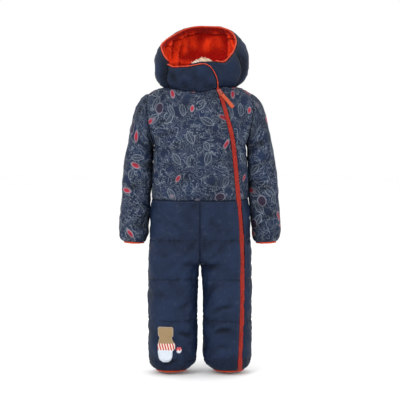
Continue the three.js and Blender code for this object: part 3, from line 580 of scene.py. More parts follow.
def top_seam(n: Array, r: Array) -> Array:
    """Returns directions turned level with the side seam below the armpit and with the armhole above."""
    return np.where((r <= 0)[..., None], n * [1, 0, 1], n * [0.02, 1, 1])


def level_seam(n: Array, r: Array) -> Array:
    """Returns directions turned level with the waist."""
    return n * [1, 1, 0]


def shoulder_seam(n: Array, r: Array) -> Array:
    """Returns directions turned upward along a shoulder."""
    return np.stack([n[..., 0], 0 * n[..., 1], np.maximum(n[..., 2], 0.6)], axis=-1)


def body_core(p: Array) -> Array:
    """Returns the middle of the body near each point."""
    return stack(0 * p[..., 0], 0 * p[..., 0], np.minimum(p[..., 2], -60))


def leg_core(p: Array) -> Array:
    """Returns the middle of the leg near each point."""
    return stack(np.sign(p[..., 0]) * BODY.cx(p[..., 2]), 0 * p[..., 0], p[..., 2])


def hood_core(p: Array) -> Array:
    """Returns the middle of the hood near each point."""
    return stack(0 * p[..., 0], 20 + 0 * p[..., 0], np.minimum(p[..., 2], 60))


@dataclass
class Made:
    """Points, faces and what each point carries, ready to become an object."""

    points: Array
    faces: list[Array]
    uv: Array
    values: dict[str, Array] = field(default_factory=dict)


def linked(name: str, data: bpy.types.ID) -> Piece:
    """Returns a new object of some data, linked to the scene."""
    made = bpy.data.objects.new(name, data)
    bpy.context.scene.collection.objects.link(made)
    return made


def new_object(name: str, made: Made, smooth: bool = True) -> Piece:
    """Makes an object from points in millimetres.

    Args:
        name: The piece's name.
        made: Its points, faces, map and point values.
        smooth: Whether its faces are shaded smooth.

    Returns:
        The object, at the origin, linked to the scene.
    """
    mesh = bpy.data.meshes.new(name)
    sizes = np.concatenate([np.full(len(f), f.shape[1]) for f in made.faces])
    loops = np.concatenate([f.ravel() for f in made.faces]).astype(np.int32)
    mesh.vertices.add(len(made.points))
    mesh.vertices.foreach_set("co", (made.points * MM).astype(np.float32).ravel())
    mesh.loops.add(len(loops))
    mesh.loops.foreach_set("vertex_index", loops)
    mesh.polygons.add(len(sizes))
    mesh.polygons.foreach_set("loop_start", (np.cumsum(sizes) - sizes).astype(np.int32))
    mesh.update(calc_edges=True)
    mesh.validate()
    layer = mesh.uv_layers.new(name="cloth")
    layer.data.foreach_set("uv", (made.uv[loops] * MM).astype(np.float32).ravel())
    for key, values in made.values.items():
        layer = mesh.attributes.new(key, "FLOAT", "POINT")
        layer.data.foreach_set("value", values.astype(np.float32))
    mesh.polygons.foreach_set("use_smooth", [smooth] * len(sizes))
    return linked(name, mesh)


def quads(rows: int, columns: int, closed: bool = False, flip: bool = False) -> Array:
    """Returns the faces of a grid of points, four corners each.

    Args:
        rows: Number of rows.
        columns: Number of columns.
        closed: Whether the last column joins the first.
        flip: Whether the faces turn the other way.
    """
    j, i = np.meshgrid(np.arange(rows - 1), np.arange(columns if closed else columns - 1), indexing="ij")
    a, b = (j * columns + i).ravel(), (j * columns + (i + 1) % columns).ravel()
    faces = np.stack([a, b, b + columns, a + columns], axis=1)
    return faces[:, ::-1] if flip else faces


def closed_wall(outside: Array, inside: Array, ring: bool = False) -> list[Array]:
    """Returns the faces of a wall between two grids, joined round its border and facing outward.

    Args:
        outside: The outer grid of points.
        inside: The inner grid of points.
        ring: Whether the grid runs round and joins itself.
    """
    rows, columns = outside.shape[:2]
    count = rows * columns
    grid = np.arange(count).reshape(rows, columns)
    lines = [grid[0][::-1], grid[-1]]
    if ring:
        lines = [np.append(line, line[0]) for line in lines]
    else:
        lines += [grid[:, 0], grid[:, -1][::-1]]
    border = [np.stack([k[:-1], k[1:], k[1:] + count, k[:-1] + count], axis=1) for k in lines]
    inner = quads(rows, columns, ring, flip=True) + count
    faces = [quads(rows, columns, ring), inner, np.concatenate(border)]
    a, b, c, d = (outside.reshape(-1, 3)[faces[0][:, k]] for k in range(4))
    thick = (outside - inside).reshape(-1, 3)[faces[0][:, 0]]
    facing = float((np.cross(c - a, d - b) * thick).sum())
    return faces if facing > 0 else [f[:, ::-1] for f in faces]


def wall_of(grid: Grid, lift: Array, relief: Array, thick: float, ring: bool = False) -> Made:
    """Makes a wall of cloth from its grid.

    Args:
        grid: The panel's grid.
        lift: How far the whole wall stands off the surface.
        relief: How far its outside rises above that.
        thick: The wall's thickness.
        ring: Whether the panel runs round and joins itself.

    Returns:
        The wall's points and faces, with its flat map and its shading height: the relief plus half of any
        sinking, from which the finish paints shade and light.
    """
    outside = grid.raised(lift + relief)
    inside = grid.raised(lift - thick + 0.6 * np.minimum(relief + 0.4, 0))
    u = grid.from_first - (grid.from_first + grid.from_last) / 2
    v = np.broadcast_to(grid.from_low.mean(1, keepdims=True), u.shape)
    flat = np.stack([u, v], axis=-1).reshape(-1, 2)
    # Shading height: the relief plus half of any sinking of the wall; the finish paints shade into creases,
    # seams and hollows from it, and light on raised parts.
    shading_height = np.concatenate([(relief + 0.5 * np.minimum(lift, 0)).ravel(), np.zeros(relief.size)])
    return Made(
        np.concatenate([outside.reshape(-1, 3), inside.reshape(-1, 3)]),
        closed_wall(outside, inside, ring),
        np.concatenate([flat, flat]),
        {"shading_height": shading_height},
    )


def srgb(code: str) -> tuple[float, float, float, float]:
    """Returns a linear colour from a mark and six figures, such as #a1b2c3."""
    parts = [int(code[k : k + 2], 16) / 255 for k in (1, 3, 5)]
    red, green, blue = (c / 12.92 if c <= 0.04045 else ((c + 0.055) / 1.055) ** 2.4 for c in parts)
    return (red, green, blue, 1.0)


def join(tree: bpy.types.NodeTree, socket: Socket, value: object) -> None:
    """Links an output to a socket, or sets the socket's own value."""
    if isinstance(value, Socket):
        tree.links.new(value, socket)
    else:
        socket.default_value = value


def add_node(tree: bpy.types.NodeTree, kind: str, inputs: dict | None, settings: dict) -> bpy.types.Node:
    """Adds a node to a tree.

    Args:
        tree: The tree.
        kind: The node's type.
        inputs: Values or outputs for its sockets.
        settings: The node's own settings.

    Returns:
        The node.
    """
    made = tree.nodes.new(kind)
    for key, value in settings.items():
        setattr(made, key, value)
    for key, value in (inputs or {}).items():
        join(tree, made.inputs[key], value)
    return made


class Graph:
    """The nodes of one finish, with short ways to make and join them."""

    def __init__(self, name: str) -> None:
        """Starts a material of that name with an empty node tree."""
        self.material = bpy.data.materials.new(name)
        self.material.use_nodes = True
        self.tree = self.material.node_tree
        self.tree.nodes.clear()
        self.out = self.tree.nodes.new("ShaderNodeOutputMaterial")
        self.shader = self.tree.nodes.new("ShaderNodeBsdfPrincipled")
        self.tree.links.new(self.shader.outputs[0], self.out.inputs["Surface"])

    def node(self, kind: str, inputs: dict | None = None, **settings: object) -> bpy.types.Node:
        """Adds a node, its kind given without the common prefix."""
        return add_node(self.tree, "ShaderNode" + kind, inputs, settings)

    def math(self, operation: str, a: object, b: object = 0.0, c: object = 0.0) -> Socket:
        """Returns the result of a sum on numbers."""
        return self.node("Math", {0: a, 1: b, 2: c}, operation=operation).outputs[0]

    def times(self, a: object, b: object) -> Socket:
        """Returns a product."""
        return self.math("MULTIPLY", a, b)

    def smooth(self, value: object, low: float, high: float) -> Socket:
        """Returns a smooth step from 0 at low to 1 at high."""
        inputs = {"Value": value, "From Min": low, "From Max": high}
        return self.node("MapRange", inputs, interpolation_type="SMOOTHSTEP").outputs[0]

    def span(self, value: object, low: float, high: float) -> Socket:
        """Returns a value of 0 to 1 stretched from low to high."""
        return self.node("MapRange", {"Value": value, "To Min": low, "To Max": high}).outputs[0]

    def mix(self, share: object, a: object, b: object, how: str = "MIX") -> Socket:
        """Returns colour b over colour a."""
        made = self.node("Mix", data_type="RGBA", blend_type=how)
        for index, value in ((0, share), (6, a), (7, b)):
            join(self.tree, made.inputs[index], value)
        return made.outputs[2]

    def noise(self, where: object, size: float, detail: float = 2.0, warp: float = 0.0) -> Socket:
        """Returns noise whose features are about that size in metres."""
        inputs = {"Vector": where, "Scale": 1 / size, "Detail": detail, "Distortion": warp}
        return self.node("TexNoise", inputs).outputs["Fac"]

    def flat(self) -> Socket:
        """Returns the piece's own flat map, in metres."""
        return self.node("UVMap", uv_map="cloth").outputs[0]

    def place(self) -> Socket:
        """Returns the place on the piece, in metres."""
        return self.node("TexCoord").outputs["Object"]

    def value(self, name: str) -> Socket:
        """Returns a number carried by the piece's points."""
        return self.node("Attribute", attribute_name=name).outputs["Fac"]

    def bump(self, layers: Sequence[tuple[object, float]]) -> Socket | None:
        """Returns a normal raised by layers of height, each with its depth in metres."""
        normal = None
        for height, depth in layers:
            inputs: dict[object, object] = {"Height": height, "Distance": depth}
            if normal is not None:
                inputs["Normal"] = normal
            normal = self.node("Bump", inputs).outputs[0]
        return normal

    def ribs(self, where: object, pitch: float, way: str) -> Socket:
        """Returns the height of parallel ribs with that pitch in metres."""
        inputs = {"Vector": where, "Scale": 0.314 / pitch}
        return self.node("TexWave", inputs, bands_direction=way).outputs["Fac"]

    def weave(self, where: object, pitch: float) -> Socket:
        """Returns the height of a plain weave with that pitch in metres."""
        return self.times(self.ribs(where, pitch, "X"), self.ribs(where, pitch, "Y"))

    def finish(self, **values: object) -> bpy.types.Material:
        """Sets the shader's sockets and returns the material."""
        for key, value in values.items():
            if value is not None:
                join(self.tree, self.shader.inputs[key.replace("_", " ")], value)
        return self.material


class Motif(Enum):
    """The kinds of shapes strewn over the printed cloth."""

    LEAF = "leaf"
    OVAL = "oval"
    STAR = "star"


@dataclass(frozen=True)
class MotifLayer:
    """One kind of shape of the print, strewn at its own size."""

    motif: Motif
    cell: float
    long: float
    wide: float
    line: float
    fill: str
    edge: str
    share: float
    turn: float = 0.0

    def strew(self, graph: Graph, where: object) -> tuple[Socket, ...]:
        """Makes the shapes of this layer.

        Args:
            graph: The finish they belong to.
            where: The flat map.

        Returns:
            How much each place is inside a shape, and how much it is on a drawn line.
        """
        start = (self.turn * 0.37, self.turn * 0.61, 0.0)
        where = graph.node("VectorMath", {0: where, 1: start}, operation="ADD").outputs[0]
        inputs = {"Vector": where, "Scale": 1 / self.cell, "Randomness": 0.7}
        cells = graph.node("TexVoronoi", inputs, voronoi_dimensions="2D")
        away = graph.node(
            "VectorMath", {0: where, 1: cells.outputs["Position"]}, operation="SUBTRACT"
        ).outputs[0]
        local = graph.node("VectorMath", {0: away, "Scale": 1 / self.cell}, operation="SCALE")
        chance = graph.node("SeparateColor", {0: cells.outputs["Color"]})
        angle = graph.math("MULTIPLY_ADD", chance.outputs[0], 6.283, self.turn)
        turned = graph.node(
            "VectorRotate", {"Vector": local.outputs[0], "Angle": angle}, rotation_type="Z_AXIS"
        )
        part = graph.node("SeparateXYZ", {0: turned.outputs[0]})
        x = graph.math("ABSOLUTE", part.outputs[0])
        y = part.outputs[1]
        size = graph.math("MULTIPLY_ADD", chance.outputs[1], 0.35, 0.8)
        y = graph.math("DIVIDE", y, size)
        x = graph.math("DIVIDE", x, size)
        tall = graph.math("POWER", graph.math("ABSOLUTE", graph.math("DIVIDE", y, self.long)), 2.0)
        if self.motif is Motif.LEAF:
            rim = graph.times(graph.math("SUBTRACT", 1.0, tall), self.wide)
            away = graph.math("SUBTRACT", x, rim)
        elif self.motif is Motif.OVAL:
            broad = graph.math("POWER", graph.math("DIVIDE", x, self.wide), 2.0)
            away = graph.math("SUBTRACT", graph.math("SQRT", graph.math("ADD", tall, broad)), 1.0)
            away = graph.times(away, self.wide)
        else:
            squares = graph.math("ADD", graph.math("POWER", x, 2.0), graph.math("POWER", y, 2.0))
            round_ = graph.math("SQRT", squares)
            turn = graph.times(graph.math("ARCTAN2", y, x), 5.0)
            reach = graph.math("MULTIPLY_ADD", graph.math("COSINE", turn), 0.3 * self.long, 0.62 * self.long)
            away = graph.math("SUBTRACT", round_, reach)
        drawn = graph.smooth(graph.math("ABSOLUTE", away), self.line, self.line * 0.45)
        if self.motif is Motif.LEAF:
            vein = graph.smooth(x, self.line * 0.7, self.line * 0.25)
            slant = graph.math("MULTIPLY_ADD", x, 1.3, y)
            ribs = graph.math("PINGPONG", graph.times(slant, 9.0), 0.5)
            ribs = graph.smooth(ribs, 0.1, 0.03)
            inner = graph.math("MAXIMUM", vein, ribs)
            drawn = graph.math("MAXIMUM", drawn, graph.times(inner, graph.smooth(away, 0.0, -0.02)))
        shown = graph.math("LESS_THAN", chance.outputs[2], self.share)
        inside = graph.smooth(away, self.line * 0.3, -self.line * 0.3)
        return graph.times(inside, shown), graph.times(drawn, shown)


# Print: shape, cell, half-length, half-width, line, fill, edge, share shown, turn
PRINT_LAYERS = (
    MotifLayer(Motif.LEAF, 0.041, 0.4, 0.19, 0.021, "#172238", "#7d868f", 0.8),
    MotifLayer(Motif.STAR, 0.034, 0.36, 0.3, 0.024, "#162034", "#78828c", 0.5, 1.1),
    MotifLayer(Motif.OVAL, 0.066, 0.17, 0.13, 0.018, "#281f31", "#747280", 0.26, 2.2),
    MotifLayer(Motif.OVAL, 0.057, 0.17, 0.08, 0.026, "#972233", "#7d737f", 0.36, 0.4),
    MotifLayer(Motif.OVAL, 0.061, 0.1, 0.075, 0.03, "#67616c", "#565364", 0.26, 3.4),
)


@dataclass(frozen=True)
class Finish:
    """A finish by its name, its deeper colour and its lighter one."""

    name: str
    deep: str
    light: str

    def tone(self, graph: Graph, share: object) -> Socket:
        """Returns a colour between the deeper and the lighter one."""
        return graph.mix(share, srgb(self.deep), srgb(self.light))

    def make(self) -> bpy.types.Material:
        """Returns the finish's material."""
        raise NotImplementedError


@dataclass(frozen=True)
class ShellFinish(Finish):
    """Smooth woven shell cloth with a soft sheen, plain or printed, with painted shade in its creases, seams
    and hollows, painted light on its raised parts, and pale patches there that are partly wear and partly
    painted highlight.
    """

    layers: tuple[MotifLayer, ...] = ()
    crinkle: float = 0.00045
    roughness: tuple[float, float] = (0.5, 0.68)

    def drawn(self, graph: Graph, where: object, cloth: object) -> Socket:
        """Returns the cloth's colour with loose scribble and the strewn shapes drawn on it."""
        wander = graph.noise(where, 0.027, 1.4, 0.6)
        loops = graph.math("PINGPONG", graph.times(wander, 12.0), 0.5)
        scribble = graph.smooth(loops, 0.12, 0.05)
        second = graph.noise(where, 0.017, 1.0, 1.0)
        fine = graph.smooth(graph.math("PINGPONG", graph.times(second, 6.0), 0.5), 0.11, 0.05)
        patches = graph.noise(where, 0.03, 0.0)
        breaks = graph.smooth(patches, 0.4, 0.48)
        lines = graph.math("MAXIMUM", scribble, graph.times(fine, breaks))
        lines = graph.times(lines, graph.smooth(patches, 0.68, 0.6))
        colour = graph.mix(graph.times(lines, 0.57), cloth, srgb("#6d7681"))
        for layer in self.layers:
            inside, line = layer.strew(graph, where)
            colour = graph.mix(graph.times(inside, 0.93), colour, srgb(layer.fill))
            colour = graph.mix(graph.times(line, 0.7), colour, srgb(layer.edge))
        return colour

    def make(self) -> bpy.types.Material:
        """Returns the cloth's material."""
        graph = Graph(self.name)
        where, place = graph.flat(), graph.place()
        patches = graph.noise(place, 0.05, 3.0)
        cloth = self.tone(graph, graph.smooth(patches, 0.3, 0.7))
        if self.layers:
            cloth = self.drawn(graph, where, cloth)
        # Painted shade and light: the colour is multiplied darker in creases, seams and hollows and slightly
        # lighter on raised parts.
        shading_height = graph.smooth(graph.value("shading_height"), -3.8, 3.1)
        shade = graph.node("CombineColor", {k: graph.span(shading_height, 0.3, 1.1) for k in range(3)}).outputs[0]
        cloth = graph.mix(1.0, cloth, shade, "MULTIPLY")
        # Pale patches on raised parts: partly wear, partly a painted highlight.
        wear_and_highlight = graph.times(graph.smooth(graph.noise(place, 0.009, 4.0), 0.56, 0.75), shading_height)
        cloth = graph.mix(graph.times(wear_and_highlight, 0.04), cloth, srgb("#8a94a8"))
        crumple = graph.noise(place, 0.012, 3.0, 0.6)
        normal = graph.bump(((crumple, self.crinkle), (graph.weave(where, 0.0007), 0.00004)))
        rough = graph.span(graph.noise(place, 0.02, 2.0), *self.roughness)
        return graph.finish(Base_Color=cloth, Roughness=rough, Normal=normal, Specular_IOR_Level=0.12)


@dataclass(frozen=True)
class PlushFinish(Finish):
    """Short curly pile, darker at its roots, with painted light on its raised folds."""

    def make(self) -> bpy.types.Material:
        """Returns the pile's material."""
        graph = Graph(self.name)
        place = graph.place()
        clumps = graph.noise(place, 0.006, 3.0, 0.8)
        share = graph.math("MULTIPLY_ADD", graph.value("tip"), 0.55, graph.times(clumps, 0.55))
        # Painted light: the lining's folds that hang furthest from the shell are coloured lighter, toward the
        # tip colour.
        raised = graph.smooth(graph.value("shading_height"), 0.8, 12.0)
        share = graph.math("MULTIPLY_ADD", raised, 0.55, graph.times(share, 0.6))
        colour = self.tone(graph, graph.smooth(share, 0.12, 0.85))
        drift = graph.smooth(graph.noise(place, 0.045, 2.0), 0.35, 0.7)
        colour = graph.mix(graph.times(drift, 0.3), colour, srgb(self.deep))
        curls = graph.node("TexVoronoi", {"Vector": place, "Scale": 380.0}).outputs["Distance"]
        normal = graph.bump(((clumps, 0.0018), (curls, 0.0007)))
        return graph.finish(
            Base_Color=colour,
            Roughness=0.92,
            Normal=normal,
            Sheen_Weight=0.08,
            Sheen_Roughness=0.5,
            Specular_IOR_Level=0.05,
        )


@dataclass(frozen=True)
class BandFinish(Finish):
    """Woven tape: fine ribs across or along, slightly rubbed on its crests."""

    rib: float = 0.0014
    roughness: float = 0.62
    sheen: float = 0.05

    def make(self) -> bpy.types.Material:
        """Returns the tape's material."""
        graph = Graph(self.name)
        where, place = graph.flat(), graph.place()
        ribs = graph.ribs(where, self.rib, "Y")
        tone = graph.noise(place, 0.011, 3.0)
        share = graph.math("MULTIPLY_ADD", ribs, 0.3, graph.times(tone, 0.8))
        colour = self.tone(graph, graph.smooth(share, 0.25, 0.85))
        normal = graph.bump(((tone, 0.0006), (ribs, 0.00022), (graph.weave(where, 0.0006), 0.00005)))
        return graph.finish(
            Base_Color=colour,
            Roughness=graph.span(tone, self.roughness - 0.1, self.roughness + 0.12),
            Normal=normal,
            Sheen_Weight=self.sheen,
            Specular_IOR_Level=0.2,
        )


@dataclass(frozen=True)
class MouldedFinish(Finish):
    """Enamelled metal or moulded rubber, faintly uneven and rubbed at its edges."""

    roughness: float
    metallic: float = 0.0

    def make(self) -> bpy.types.Material:
        """Returns the material."""
        graph = Graph(self.name)
        place = graph.place()
        grain = graph.noise(place, 0.0022, 3.0)
        edge = graph.smooth(graph.node("NewGeometry").outputs["Pointiness"], 0.52, 0.6)
        wear = graph.times(edge, graph.smooth(graph.noise(place, 0.003, 2.0), 0.4, 0.6))
        colour = self.tone(graph, graph.times(wear, 0.6))
        colour = graph.mix(graph.times(grain, 0.2), colour, srgb(self.light))
        return graph.finish(
            Base_Color=colour,
            Roughness=graph.span(grain, self.roughness - 0.08, self.roughness + 0.1),
            Normal=graph.bump(((grain, 0.00008),)),
            Metallic=self.metallic,
            Specular_IOR_Level=0.5,
        )


@dataclass(frozen=True)
class FeltFinish(Finish):
    """Embroidered felt in bands: one colour above, stripes across the middle, pale below."""

    stripes: tuple[float, float]
    stripe: float = 0.0062

    def make(self) -> bpy.types.Material:
        """Returns the felt's material."""
        graph = Graph(self.name)
        place = graph.place()
        part = graph.node("SeparateXYZ", {0: place})
        low, high = self.stripes
        tone = graph.noise(place, 0.003, 3.0)
        upper = self.tone(graph, tone)
        slant = graph.math("MULTIPLY_ADD", part.outputs[2], 0.25, part.outputs[0])
        beat = graph.math("PINGPONG", graph.math("DIVIDE", slant, self.stripe), 0.5)
        striped = graph.mix(graph.smooth(beat, 0.2, 0.28), srgb("#ae1f2c"), srgb("#dccdc0"))
        pale = graph.mix(tone, srgb("#bcc5cf"), srgb("#d3dae1"))
        colour = graph.mix(graph.smooth(part.outputs[2], high - 0.0004, high + 0.0004), striped, upper)
        colour = graph.mix(graph.smooth(part.outputs[2], low + 0.0004, low - 0.0004), colour, pale)
        rows = graph.node("TexWave", {"Vector": graph.flat(), "Scale": 260.0}, bands_direction="DIAGONAL")
        normal = graph.bump(((tone, 0.0004), (rows.outputs["Fac"], 0.00025)))
        return graph.finish(Base_Color=colour, Roughness=0.85, Normal=normal, Specular_IOR_Level=0.2)


@dataclass(frozen=True)
class ThreadFinish(Finish):
    """Twisted sewing thread."""

    def make(self) -> bpy.types.Material:
        """Returns the thread's material."""
        graph = Graph(self.name)
        place = graph.place()
        twist = graph.node(
            "TexWave", {"Vector": place, "Scale": 700.0, "Distortion": 1.0}, bands_direction="DIAGONAL"
        )
        colour = self.tone(graph, twist.outputs["Fac"])
        normal = graph.bump(((twist.outputs["Fac"], 0.00006),))
        return graph.finish(Base_Color=colour, Roughness=0.55, Normal=normal, Sheen_Weight=0.1)


PLAIN = ShellFinish("plain shell", "#131e33", "#18253d")
PRINTED = ShellFinish("printed shell", "#151f34", "#1a263e", PRINT_LAYERS)
RED_PLUSH = PlushFinish("red plush", "#a20a08", "#ff4318")
CREAM_PLUSH = PlushFinish("cream plush", "#f3d6a4", "#fffdf2")
BINDING = BandFinish("binding", "#a82a12", "#cf4722")
ZIP_TAPE = BandFinish("zip tape", "#7b130b", "#a31e11", 0.0009)
COIL = MouldedFinish("zip coil", "#9c2012", "#b93a24", 0.4)
ENAMEL = MouldedFinish("enamelled slider", "#a83226", "#c8b8a8", 0.3, 0.25)
PULLER = MouldedFinish("moulded puller", "#a83a0e", "#c9591c", 0.5)
LINING_CLOTH = BandFinish("body lining", "#6b1614", "#93231d", 0.0012, 0.75, 0.1)
BADGE_FELT = FeltFinish("badge felt", "#86704f", "#9a8462", (-0.604, -0.588))
RED_FELT = FeltFinish("red felt", "#b82334", "#cc3a44", (-0.6055, -0.6025))
NAVY_THREAD = ThreadFinish("navy thread", "#1b2438", "#35415c")
RED_THREAD = ThreadFinish("red thread", "#8f1d16", "#d65a3e")
PALE_THREAD = ThreadFinish("pale thread", "#7c8aa4", "#c2cbdb")


class NodeTree:
    """A Geometry Nodes tree with named inputs, used once on a piece and then made a plain mesh."""

    def __init__(self, name: str, inputs: Sequence[tuple[str, str, object]]) -> None:
        """Starts the tree.

        Args:
            name: The tree's name.
            inputs: Name, socket kind and value of each input after the geometry.
        """
        self.group = bpy.data.node_groups.new(name, "GeometryNodeTree")
        face = self.group.interface
        face.new_socket("Geometry", in_out="INPUT", socket_type="NodeSocketGeometry")
        for label, kind, value in inputs:
            made = face.new_socket(label, in_out="INPUT", socket_type="NodeSocket" + kind)
            if value is not None:
                made.default_value = value
        face.new_socket("Geometry", in_out="OUTPUT", socket_type="NodeSocketGeometry")
        self.start = self.group.nodes.new("NodeGroupInput")
        self.end = self.group.nodes.new("NodeGroupOutput")

    def node(self, kind: str, inputs: dict | None = None, **settings: object) -> bpy.types.Node:
        """Adds a node and joins its inputs."""
        return add_node(self.group, kind, inputs, settings)

    def sum(self, operation: str, a: object, b: object) -> Socket:
        """Returns the result of a sum on numbers."""
        return self.node("ShaderNodeMath", {0: a, 1: b}, operation=operation).outputs[0]

    def scaled(self, sizes: Sequence[object], low: object, high: object, chance: object) -> Socket:
        """Returns three sizes, all made larger or smaller by one random share.

        Args:
            sizes: The three sizes.
            low: The smallest share.
            high: The largest share.
            chance: The seed.
        """
        size = self.node("ShaderNodeCombineXYZ", dict(enumerate(sizes)))
        share = self.node("FunctionNodeRandomValue", {2: low, 3: high, "Seed": chance})
        inputs = {0: size.outputs[0], "Scale": share.outputs[1]}
        return self.node("ShaderNodeVectorMath", inputs, operation="SCALE").outputs[0]

    def instances(self, points: object, shape: object, rotation: object, size: object) -> None:
        """Sets a shape on each point and ends the tree."""
        inputs = {"Points": points, "Instance": shape, "Rotation": rotation, "Scale": size}
        self.close(self.node("GeometryNodeInstanceOnPoints", inputs).outputs[0])

    def close(self, geometry: Socket) -> None:
        """Ends the tree in Realize Instances and Set Material."""
        real = self.node("GeometryNodeRealizeInstances", {"Geometry": geometry})
        inputs = {"Geometry": real.outputs[0], "Material": self.start.outputs["Finish"]}
        done = self.node("GeometryNodeSetMaterial", inputs)
        self.group.links.new(done.outputs[0], self.end.inputs[0])

    def apply(self, piece: Piece, values: dict[str, object]) -> None:
        """Runs the tree on a piece and keeps the result as its plain mesh.

        Args:
            piece: The piece.
            values: A value for each named input.
        """
        modifier = piece.modifiers.new(self.group.name, "NODES")
        modifier.node_group = self.group
        sockets = {s.name: s.identifier for s in self.group.interface.items_tree if s.in_out == "INPUT"}
        for key, value in values.items():
            modifier[sockets[key]] = value
        piece.update_tag()
        bpy.context.view_layer.update()
        graph = bpy.context.evaluated_depsgraph_get()
        mesh = bpy.data.meshes.new_from_object(piece.evaluated_get(graph), depsgraph=graph)
        mesh.name = piece.name
        piece.modifiers.clear()
        piece.data = mesh
        mesh.polygons.foreach_set("use_smooth", [True] * len(mesh.polygons))


class RepeatTree(NodeTree):
    """Sets one small rounded shape again and again along a path: stitches, zip teeth."""

    def __init__(self) -> None:
        """Builds the tree."""
        super().__init__(
            "repeat along a path",
            (
                ("Pitch", "Float", 0.004),
                ("Length", "Float", 0.003),
                ("Width", "Float", 0.0007),
                ("Height", "Float", 0.0006),
                ("Turn", "Float", 0.0),
                ("Jitter", "Float", 0.1),
                ("Seed", "Int", 1),
                ("Finish", "Material", None),
            ),
        )
        inputs = self.start.outputs
        line = self.node("GeometryNodeMeshToCurve", {"Mesh": inputs["Geometry"]})
        points = self.node(
            "GeometryNodeResampleCurve", {"Curve": line.outputs[0], "Length": inputs["Pitch"]}, mode="LENGTH"
        )
        up = self.node("GeometryNodeInputNamedAttribute", {"Name": "up"}, data_type="FLOAT_VECTOR")
        tangent = self.node("GeometryNodeInputTangent")
        along = self.node("FunctionNodeAlignRotationToVector", {"Vector": tangent.outputs[0]}, axis="X")
        stood = self.node(
            "FunctionNodeAlignRotationToVector",
            {"Rotation": along.outputs[0], "Vector": up.outputs[0]},
            axis="Z",
            pivot_axis="X",
        )
        spin = self.node("FunctionNodeAxisAngleToRotation", {"Axis": (0, 0, 1), "Angle": inputs["Turn"]})
        turned = self.node(
            "FunctionNodeRotateRotation",
            {"Rotation": stood.outputs[0], "Rotate By": spin.outputs[0]},
            rotation_space="LOCAL",
        )
        shape = self.node("GeometryNodeMeshIcoSphere", {"Radius": 0.5, "Subdivisions": 1})
        low, high = self.sum("SUBTRACT", 1.0, inputs["Jitter"]), self.sum("ADD", 1.0, inputs["Jitter"])
        sizes = [inputs[name] for name in ("Length", "Width", "Height")]
        varied = self.scaled(sizes, low, high, inputs["Seed"])
        self.instances(points.outputs[0], shape.outputs[0], turned.outputs[0], varied)


class PileTree(NodeTree):
    """Strews bent tufts over a lining to make its pile."""

    def __init__(self) -> None:
        """Builds the tree."""
        super().__init__(
            "pile of tufts",
            (
                ("Density", "Float", 60000.0),
                ("Length", "Float", 0.005),
                ("Width", "Float", 0.0011),
                ("Lean", "Float", 0.6),
                ("Seed", "Int", 1),
                ("Finish", "Material", None),
            ),
        )
        inputs = self.start.outputs
        strewn = self.node(
            "GeometryNodeDistributePointsOnFaces",
            {"Mesh": inputs["Geometry"], "Density": inputs["Density"], "Seed": inputs["Seed"]},
        )
        tuft = self.node(
            "GeometryNodeMeshCone",
            {"Vertices": 3, "Side Segments": 2, "Radius Top": 0.12, "Radius Bottom": 1.0, "Depth": 1.0},
            fill_type="NONE",
        )
        place = self.node("GeometryNodeInputPosition")
        part = self.node("ShaderNodeSeparateXYZ", {0: place.outputs[0]})
        tip = self.node(
            "GeometryNodeStoreNamedAttribute",
            {"Geometry": tuft.outputs[0], "Name": "tip", "Value": part.outputs[2]},
            data_type="FLOAT",
            domain="POINT",
        )
        push = self.sum("MULTIPLY", self.sum("POWER", part.outputs[2], 2.0), 1.6)
        shift = self.node("ShaderNodeCombineXYZ", {"X": push})
        bent = self.node("GeometryNodeSetPosition", {"Geometry": tip.outputs[0], "Offset": shift.outputs[0]})
        lean = self.node(
            "FunctionNodeRandomValue",
            {0: (-1.0, -1.0, -5.3), 1: (1.0, 1.0, 5.3), "Seed": inputs["Seed"]},
            data_type="FLOAT_VECTOR",
        )
        weighed = self.node(
            "ShaderNodeVectorMath", {0: lean.outputs[0], "Scale": inputs["Lean"]}, operation="SCALE"
        )
        tilt = self.node("FunctionNodeEulerToRotation", {0: weighed.outputs[0]})
        turned = self.node(
            "FunctionNodeRotateRotation",
            {"Rotation": strewn.outputs["Rotation"], "Rotate By": tilt.outputs[0]},
            rotation_space="LOCAL",
        )
        sizes = [inputs[name] for name in ("Width", "Width", "Length")]
        varied = self.scaled(sizes, 0.6, 1.25, inputs["Seed"])
        self.instances(strewn.outputs[0], bent.outputs[0], turned.outputs[0], varied)


@dataclass(frozen=True)
class Line:
    """A path on the cloth and the outward direction at each of its points."""

    points: Array
    up: Array

    def lifted(self, height: float) -> "Line":
        """Returns the path moved off the cloth by a height in millimetres."""
        return Line(self.points + self.up * height, self.up)


def line_on(grid: Grid, outside: Array, edge: str, distance: float, cut: float = 3.0) -> Line:
    """Returns the line that runs at a distance from one edge of a panel.

    Args:
        grid: The panel's grid.
        outside: The panel's finished outer points.
        edge: The edge: first, last, low or high.
        distance: Distance from that edge in millimetres.
        cut: How far the line stops short of the other edges.

    Returns:
        The line.
    """
    away, ends, normals = grid.away(edge), grid.ends(), grid.n
    if edge in ("low", "high"):
        away, ends = away.T, grid.sides().T
        outside, normals = outside.transpose(1, 0, 2), normals.transpose(1, 0, 2)
    points, ups = [], []
    for j in range(len(away)):
        order = np.argsort(away[j])
        walked = away[j][order]
        if walked[-1] < distance or np.interp(distance, walked, ends[j][order]) < cut:
            continue
        points.append([np.interp(distance, walked, outside[j][order, k]) for k in range(3)])
        ups.append([np.interp(distance, walked, normals[j][order, k]) for k in range(3)])
    return Line(np.array(points), unit(np.array(ups)))


def row_line(grid: Grid, outside: Array, row: float, cut: float = 3.0) -> Line:
    """Returns the line along the grid row nearest to a value."""
    j = int(np.argmin(np.abs(grid.r[:, 0] - row)))
    keep = grid.sides()[j] > cut
    return Line(outside[j][keep], grid.n[j][keep])


